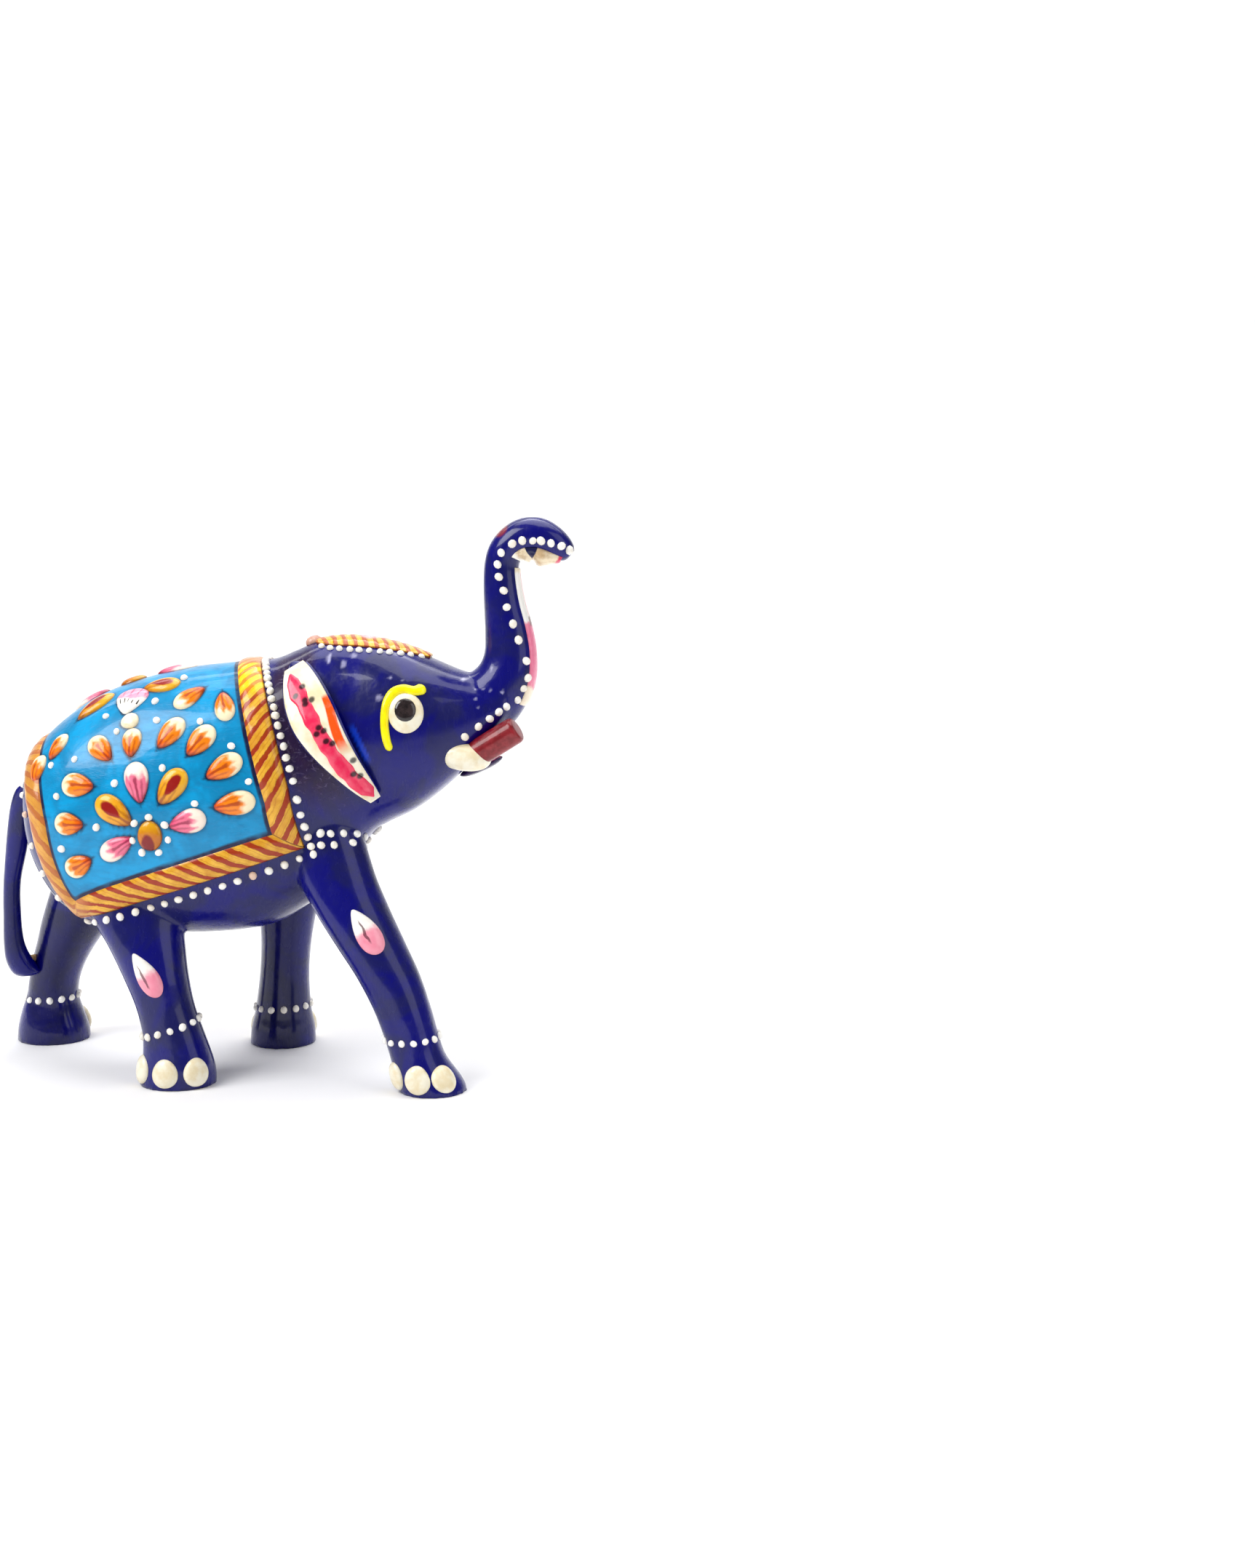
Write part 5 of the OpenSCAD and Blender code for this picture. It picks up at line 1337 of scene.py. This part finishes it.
earShape = {
    "top": np.array([9.2, 111.6]),
    "bottom": np.array([32.4, 75.5]),
    "lift": [[0, 11.5], [0.2, 17.6], [0.4, 21.2], [0.6, 22], [0.8, 20.6], [1, 18]],
    "width": [[0, 2], [0.08, 4], [0.2, 5.6], [0.35, 6.2], [0.5, 5.5], [0.7, 4], [0.88, 2.5], [1, 0.9]],
    "flare": 3.6,
    "bow": 1.7,
    "crown": 0.7,
    "edge": 1.2,
    "swell": 2.2,
    "faceThick": 0.4,
    "faceEnds": (0.025, 0.975),
    "faceHalf": 0.92,
    "stripeEnds": (0.062, 0.953),
    "stripeRise": 0.42,
    "stripe": [[0.06, -0.36, 1.2], [0.16, -0.22, 1.95], [0.28, -0.08, 1.9], [0.52, -0.07, 1.75],
               [0.7, -0.12, 1.85], [0.8, -0.12, 1.9], [0.9, 0.02, 1.5], [0.955, 0.1, 0.7]],
    "speckScale": (42, 0.85),
    "specks": [[0.17, 0.12], [0.2, -0.3], [0.25, 0.02], [0.265, 0.28], [0.27, -0.02], [0.43, 0.05],
               [0.455, -0.16], [0.46, 0.16], [0.52, 0.02], [0.55, 0.2], [0.7, 0.62],
               [0.77, 0.12], [0.8, 0.38]],
}


def earPoint(share, across):
    # share from the top to the lower tip, across from -1 behind to 1 in front, on the right ear
    share, across = np.broadcast_arrays(np.asarray(share, float), np.asarray(across, float))
    half = throughRows(earShape["width"], share)[..., 1]
    out = (throughRows(earShape["lift"], share)[..., 1] + earShape["flare"] * (1 - across) / 2
           + earShape["crown"] * (1 - across**2))
    line = earShape["bottom"] - earShape["top"]
    length = np.hypot(*line)
    down = line / length
    aside = half * across - earShape["bow"] * sind(180 * share)
    x = earShape["top"][0] + down[0] * length * share - down[1] * aside
    z = earShape["top"][1] + down[1] * length * share + down[0] * aside
    return np.stack([x, -out, z], -1)


def earOut(grid):
    # way out of the right ear, away from the head
    way = -unitOf(np.cross(np.gradient(grid, axis=0), np.gradient(grid, axis=1)))
    return np.where(way[..., 1:2] > 0, -way, way)


def earSpecks(share, across, half):
    specks = np.zeros(np.broadcast_shapes(share.shape, across.shape))
    long, wide = earShape["speckScale"]
    for s, a in earShape["specks"]:
        far = np.hypot((share - s) * long, (across - a) * half * wide)
        specks = np.maximum(specks, 1 - smoothStep(far, 0.45, 0.95))
    return specks


def earPlates(name, node, top, under, marks, slot, paint):
    mirror = np.array([1, -1, 1])
    parts = [slab(name, top, under, marks, False), slab(name, top * mirror, under * mirror, marks)]
    return finished(join(name, parts), name, node, slot=slot, paint=paint)


def makeEars():
    # leaf: every cross-section a rounded lens, thickest in the middle
    share = np.concatenate([[0], 0.06 * (1 - cosd(np.linspace(8, 90, 9))), np.linspace(0.075, 0.925, 90),
                            1 - 0.06 * (1 - cosd(np.linspace(90, 8, 9))), [1]])
    pull = np.sqrt(np.clip(np.minimum(share / 0.05, (1 - share) / 0.05), 0.0004, 1))
    turn = np.arange(56) * 360 / 56
    a = np.sign(cosd(turn)) * np.abs(cosd(turn))**0.8
    across = a[None] * pull[:, None]
    skinSide = earPoint(share[:, None], across)
    thick = (earShape["edge"] + earShape["swell"] * np.sqrt(1 - a**2))[None] * pull[:, None]
    depth = 0.5 - 0.5 * np.sign(sind(turn)) * np.abs(sind(turn))**0.7
    rings = skinSide + np.stack([0 * across, depth[None] * thick, 0 * across], -1)
    for word, flip in (("right", 1), ("left", -1)):
        points = rings * [1, flip, 1]
        made = tube("ear", points if flip > 0 else points[::-1])
        finished(made, word + "Ear", word + "_ear", slot="body_enamel", paint="body")
    low, high = earShape["faceEnds"]
    reach = earShape["faceHalf"]
    share, across = np.linspace(low, high, 170)[:, None], np.linspace(-reach, reach, 64)[None]
    grid = earPoint(share, across)
    way = earOut(grid)
    edge = np.minimum(1 - np.abs(across) / reach, np.minimum(share - low, high - share) * 5)
    soft = np.sqrt(np.clip(edge / 0.16, 0, 1)) * 0.85 + 0.15
    half = throughRows(earShape["width"], share)[..., 1]
    stroke = smoothStep(share, 0.27, 0.3) * (1 - smoothStep(share, 0.54, 0.66))
    away = np.abs(across - (0.86 - 0.32 * smoothStep(share, 0.25, 0.6))) * half
    marks = {"orange": stroke * (1 - smoothStep(away, 0.95, 1.3)), "speck": earSpecks(share, across, half)}
    top = grid + way * (earShape["faceThick"] * soft)[..., None]
    earPlates("earFaces", "ear_faces", top, grid - way * 0.1, marks, "cream_enamel", "ear")
    low, high = earShape["stripeEnds"]
    share = np.linspace(low, high, 190)[:, None]
    middle = throughRows(earShape["stripe"], share)
    b = np.linspace(-1, 1, 30)[None]
    half = throughRows(earShape["width"], share)[..., 1]
    ragged = 1 + 0.09 * np.sin(share * 37 + 1) + 0.05 * np.sin(share * 71)
    closing = np.sqrt(np.clip(np.minimum(share - low, high - share) / 0.05, 0.003, 1))
    across = middle[..., 1] + b * middle[..., 2] * ragged * closing / half
    grid = earPoint(share, across)
    way = earOut(grid)
    rise = earShape["faceThick"] + earShape["stripeRise"] * np.sqrt(np.clip(1 - b**2, 0, 1)) * closing
    earPlates("earStripes", "ear_stripes", grid + way * rise[..., None], grid + way * 0.2,
              {"speck": earSpecks(share, across, half)}, "pink_enamel", "stripe")


makeEars()
print("head cloth, eyes and ears done")

# Neck beads, trunk dots, trunk lining and mouth

neckBeads = {"rows": [[16.8, 67, 28.4, 64.4], [17.2, 63.2, 27.6, 60.6]], "count": 6}
trunkDots = [
    [1.6, 45], [2, 42], [2.35, 38], [2.9, 46], [3.65, 61], [4.3, 68], [5, 75], [5.7, 80], [6.4, 90],
    [7.1, 98], [7.95, 96], [8.95, 86], [9.85, 81], [10.75, 79], [11.5, 83], [12.3, 89], [13.2, 102],
    [14.2, 112]]
snoutDots = [[54, 92.1], [57.5, 94.6], [60.3, 96.6], [62.6, 98.2], [64.6, 99.6]]


def makeNeckAndTrunkDots():
    f = np.linspace(0, 1, neckBeads["count"])[:, None]
    rows = np.concatenate([row[:2] * (1 - f) + row[2:] * f for row in np.array(neckBeads["rows"], float)])
    whiteDots("neckBeads", "neck_beads", bothSides(rows, bodySpot)[0], clothShape["edgeDot"])
    along = bothSides(trunkDots, lambda q, sign: trunkPoint(sign * q[:, 1], q[:, 0]))[0]
    at = np.concatenate([along, bothSides(snoutDots, bodySpot)[0]])
    whiteDots("trunkDots", "trunk_dots", at, clothShape["edgeDot"])


trunkStrips = {  # reach along the trunk and to each side of its inner curve
    "lining": {"from": 1.5, "to": 7, "turn": 34, "cols": 34, "soft": 0.2},
    "mouth": {"from": 8, "to": 14, "turn": 58, "cols": 48, "soft": 0.16},
}


def trunkStrip(key):
    # places on the trunk, a share that thins the strip at its rim, and its values
    strip = trunkStrips[key]
    t = np.linspace(strip["from"], strip["to"], 130)[:, None]
    turn = np.linspace(-strip["turn"], strip["turn"], strip["cols"])[None]
    aside = np.abs(turn) / strip["turn"]
    edge = np.minimum(1 - aside, np.minimum(t - strip["from"], strip["to"] - t) * 1.2)
    return t, turn, np.sqrt(np.clip(edge / strip["soft"], 0.02, 1)), {"run": t, "aside": aside}


def makeTrunkLining():
    t, turn, thin, values = trunkStrip("lining")
    made = plate("trunkLining", trunkPoint(turn, t), 0.5 * thin, values)
    finished(made, "trunkLining", "trunk_lining", slot="cream_enamel", paint="lining")
    t, turn, thin, values = trunkStrip("mouth")
    lobes = 1.1 * np.exp(-((t - 9.5) / 0.9)**2) + 2.2 * np.exp(-((t - 12.0) / 1.15)**2)
    made = plate("trunkMouth", trunkPoint(turn, t), (0.5 + lobes * cosd(turn)**0.7) * thin, values)
    finished(made, "trunkMouth", "trunk_mouth", slot="cream_enamel", paint="mouth")


makeNeckAndTrunkDots()
makeTrunkLining()

# Leg drops, anklets and toenails

legTrim = {  # turn and height of the drop, its tip direction, length, width, anklet height and tilt
    "rightFront": [71, 42.8, 54, 13.6, 8.6, 14, 0.3],
    "rightHind": [88, 30.6, 58, 13.4, 7.4, 15.2, 2.2],
    "leftFront": [80, 29, 66, 10.4, 6.8, 11, 0.3],
    "leftHind": [90, 29.6, 60, 10.4, 6.8, 12.6, 0.3],
}
feet = {"nailTurns": [47, 98, 152], "nailZ": 4.6, "nailSize": (7.8, 8), "nailHeight": 1.5, "ankletDots": 14,
        "ankletDot": 2}


def makeLegTrim():
    names = list(legTrim)
    trim = np.array([legTrim[n] for n in names], float)
    side = np.array([legShapes[n][0] for n in names], float)
    at = np.concatenate([legPoint(n, trim[i, 0:1], trim[i, 1:2]) for i, n in enumerate(names)])
    rings, values = padRings(at, side, 180 - trim[:, 2], trim[:, 3], trim[:, 4], 0.6, 1.3, 0)
    finished(stamps("legDrops", rings, values), "legDrops", "leg_drops", slot="pink_enamel", paint="drop")
    turn = np.arange(feet["ankletDots"]) * 360 / feet["ankletDots"]
    at = np.concatenate([legPoint(n, turn, trim[i, 5] + trim[i, 6] * cosd(turn))
                         for i, n in enumerate(names)])
    whiteDots("ankletDots", "anklet_dots", at, feet["ankletDot"])
    turn = np.array(feet["nailTurns"], float)
    at = np.concatenate([legPoint(n, turn, feet["nailZ"] + 0 * turn) for n in names])
    upright = np.full(len(at), 90.0)
    rings, values = padRings(at, np.repeat(side, 3), upright, *feet["nailSize"], 0.2, feet["nailHeight"], 0)
    finished(stamps("toenails", rings, values), "toenails", "toenails", slot="cream_enamel", paint="cream")


makeLegTrim()
print("trunk and leg trim done")

# Lower lip

lip = {"root": (53.4, 0, 81.2), "end": (60.1, 0, 84.2), "halfHeight": 1.35, "halfWidth": 3.6,
       "widthGain": 0.35}


def makeLip():
    # flattened ovals along a line from under the cheek to the tip
    s = (1 - cosd(np.linspace(4, 176, 60))) / 2
    root, end = np.array(lip["root"], float), np.array(lip["end"], float)
    middle = root + (end - root) * (s * 1.72 - 0.36)[:, None]
    swell = (1 - np.abs(2 * s - 1)**2.6)**0.6
    up = unitOf(np.cross(end - root, [0, 1.0, 0]))
    across = np.array([0, -1.0, 0])
    turn = np.arange(36) * 10
    half = lip["halfWidth"] + lip["widthGain"] * s[:, None]
    rings = (middle[:, None] + up * (swell[:, None] * lip["halfHeight"] * cosd(turn)[None])[..., None]
             + across * (swell[:, None] * half * sind(turn)[None])[..., None])
    finished(tube("lip", rings), "lowerLip", "lower_lip", slot="body_enamel", paint="lip")


makeLip()
bpy.data.objects.remove(skin)

# Joinery stays as designed and shows bare wood

for nodeName in ("neck_dowels", "trunk_dowel", "leg_dowels", "tail_pins", "ear_pins"):
    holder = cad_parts[nodeName].data.materials
    holder.clear()
    holder.append(enamels["wood"])

# Floor, lights and camera

studio = {"keyPower": 8.5, "topPower": 6, "fillPower": 1.6, "wallPower": 16, "world": 0.2}
backdrop = {"halfWidth": 2.2, "front": -1.6, "depth": 2.6, "bendY": 1.0, "bend": 0.6, "wall": 1.6,
            "flatShare": 0.6, "bendShare": 0.2}


def makeFloor():
    # flat floor that turns up into a wall on a quarter circle far behind
    across = np.linspace(-backdrop["halfWidth"], backdrop["halfWidth"], 12)
    run = np.linspace(0, 1, 60)
    flatShare, bend = backdrop["flatShare"], backdrop["bend"]
    quarter = np.clip((run - flatShare) / backdrop["bendShare"], 0, 1) * np.pi / 2
    y = np.where(run < flatShare, backdrop["front"] + run / flatShare * backdrop["depth"],
                 backdrop["bendY"] + bend * np.sin(quarter))
    z = np.where(run < flatShare, 0, bend * (1 - np.cos(quarter)))
    z = z + np.where(run > 0.8, (run - 0.8) / 0.2 * backdrop["wall"], 0)
    grid = np.stack(np.broadcast_arrays(across[None], y[:, None], z[:, None]), -1) / mm
    made = placeMesh("studioFloor", grid[::-1], [squares(60, 12)])
    made.data.materials.append(enamels["floor"])


makeFloor()


def softLight(name, place, aim, size, power, tone=(1, 1, 1)):
    lamp = bpy.data.lights.new(name, "AREA")
    lamp.shape = "RECTANGLE"
    lamp.size, lamp.size_y = size
    lamp.energy = power
    lamp.color = tone
    made = bpy.data.objects.new(name, lamp)
    made.location = place
    made.rotation_euler = (Vector(aim) - Vector(place)).to_track_quat("-Z", "Y").to_euler()
    scene.collection.objects.link(made)


softLight("key", (-0.55, -0.45, 0.75), (0, 0, 0.08), (0.6, 0.6), studio["keyPower"])
softLight("top", (0.1, 0.15, 0.95), (0, 0, 0.08), (0.9, 0.7), studio["topPower"])
softLight("fill", (0.75, -0.35, 0.45), (0, 0, 0.08), (0.5, 0.7), studio["fillPower"])
softLight("wall", (0, 0.75, 1.3), (0, 1.5, 0.2), (2.4, 0.5), studio["wallPower"])

world = bpy.data.worlds.new("studioAir")
world.use_nodes = True
world.node_tree.nodes["Background"].inputs["Color"].default_value = (1, 1, 1, 1)
world.node_tree.nodes["Background"].inputs["Strength"].default_value = studio["world"]
scene.world = world
scene.view_settings.view_transform = "Standard"

camera = {"lens": 46.1, "sensor": 36, "clipEnd": 20, "place": (0.12702, -0.53069, 0.15155),
          "way": (-0.05798, 0.9889, -0.13682)}
lens = bpy.data.cameras.new("camera")
lens.lens = camera["lens"]
lens.sensor_width = camera["sensor"]
lens.clip_end = camera["clipEnd"]
cameraObject = bpy.data.objects.new("camera", lens)
cameraObject.location = camera["place"]
cameraObject.rotation_euler = Vector(camera["way"]).to_track_quat("-Z", "Y").to_euler()
scene.collection.objects.link(cameraObject)
scene.camera = cameraObject
print("studio lit")

bpy.context.view_layer.update()
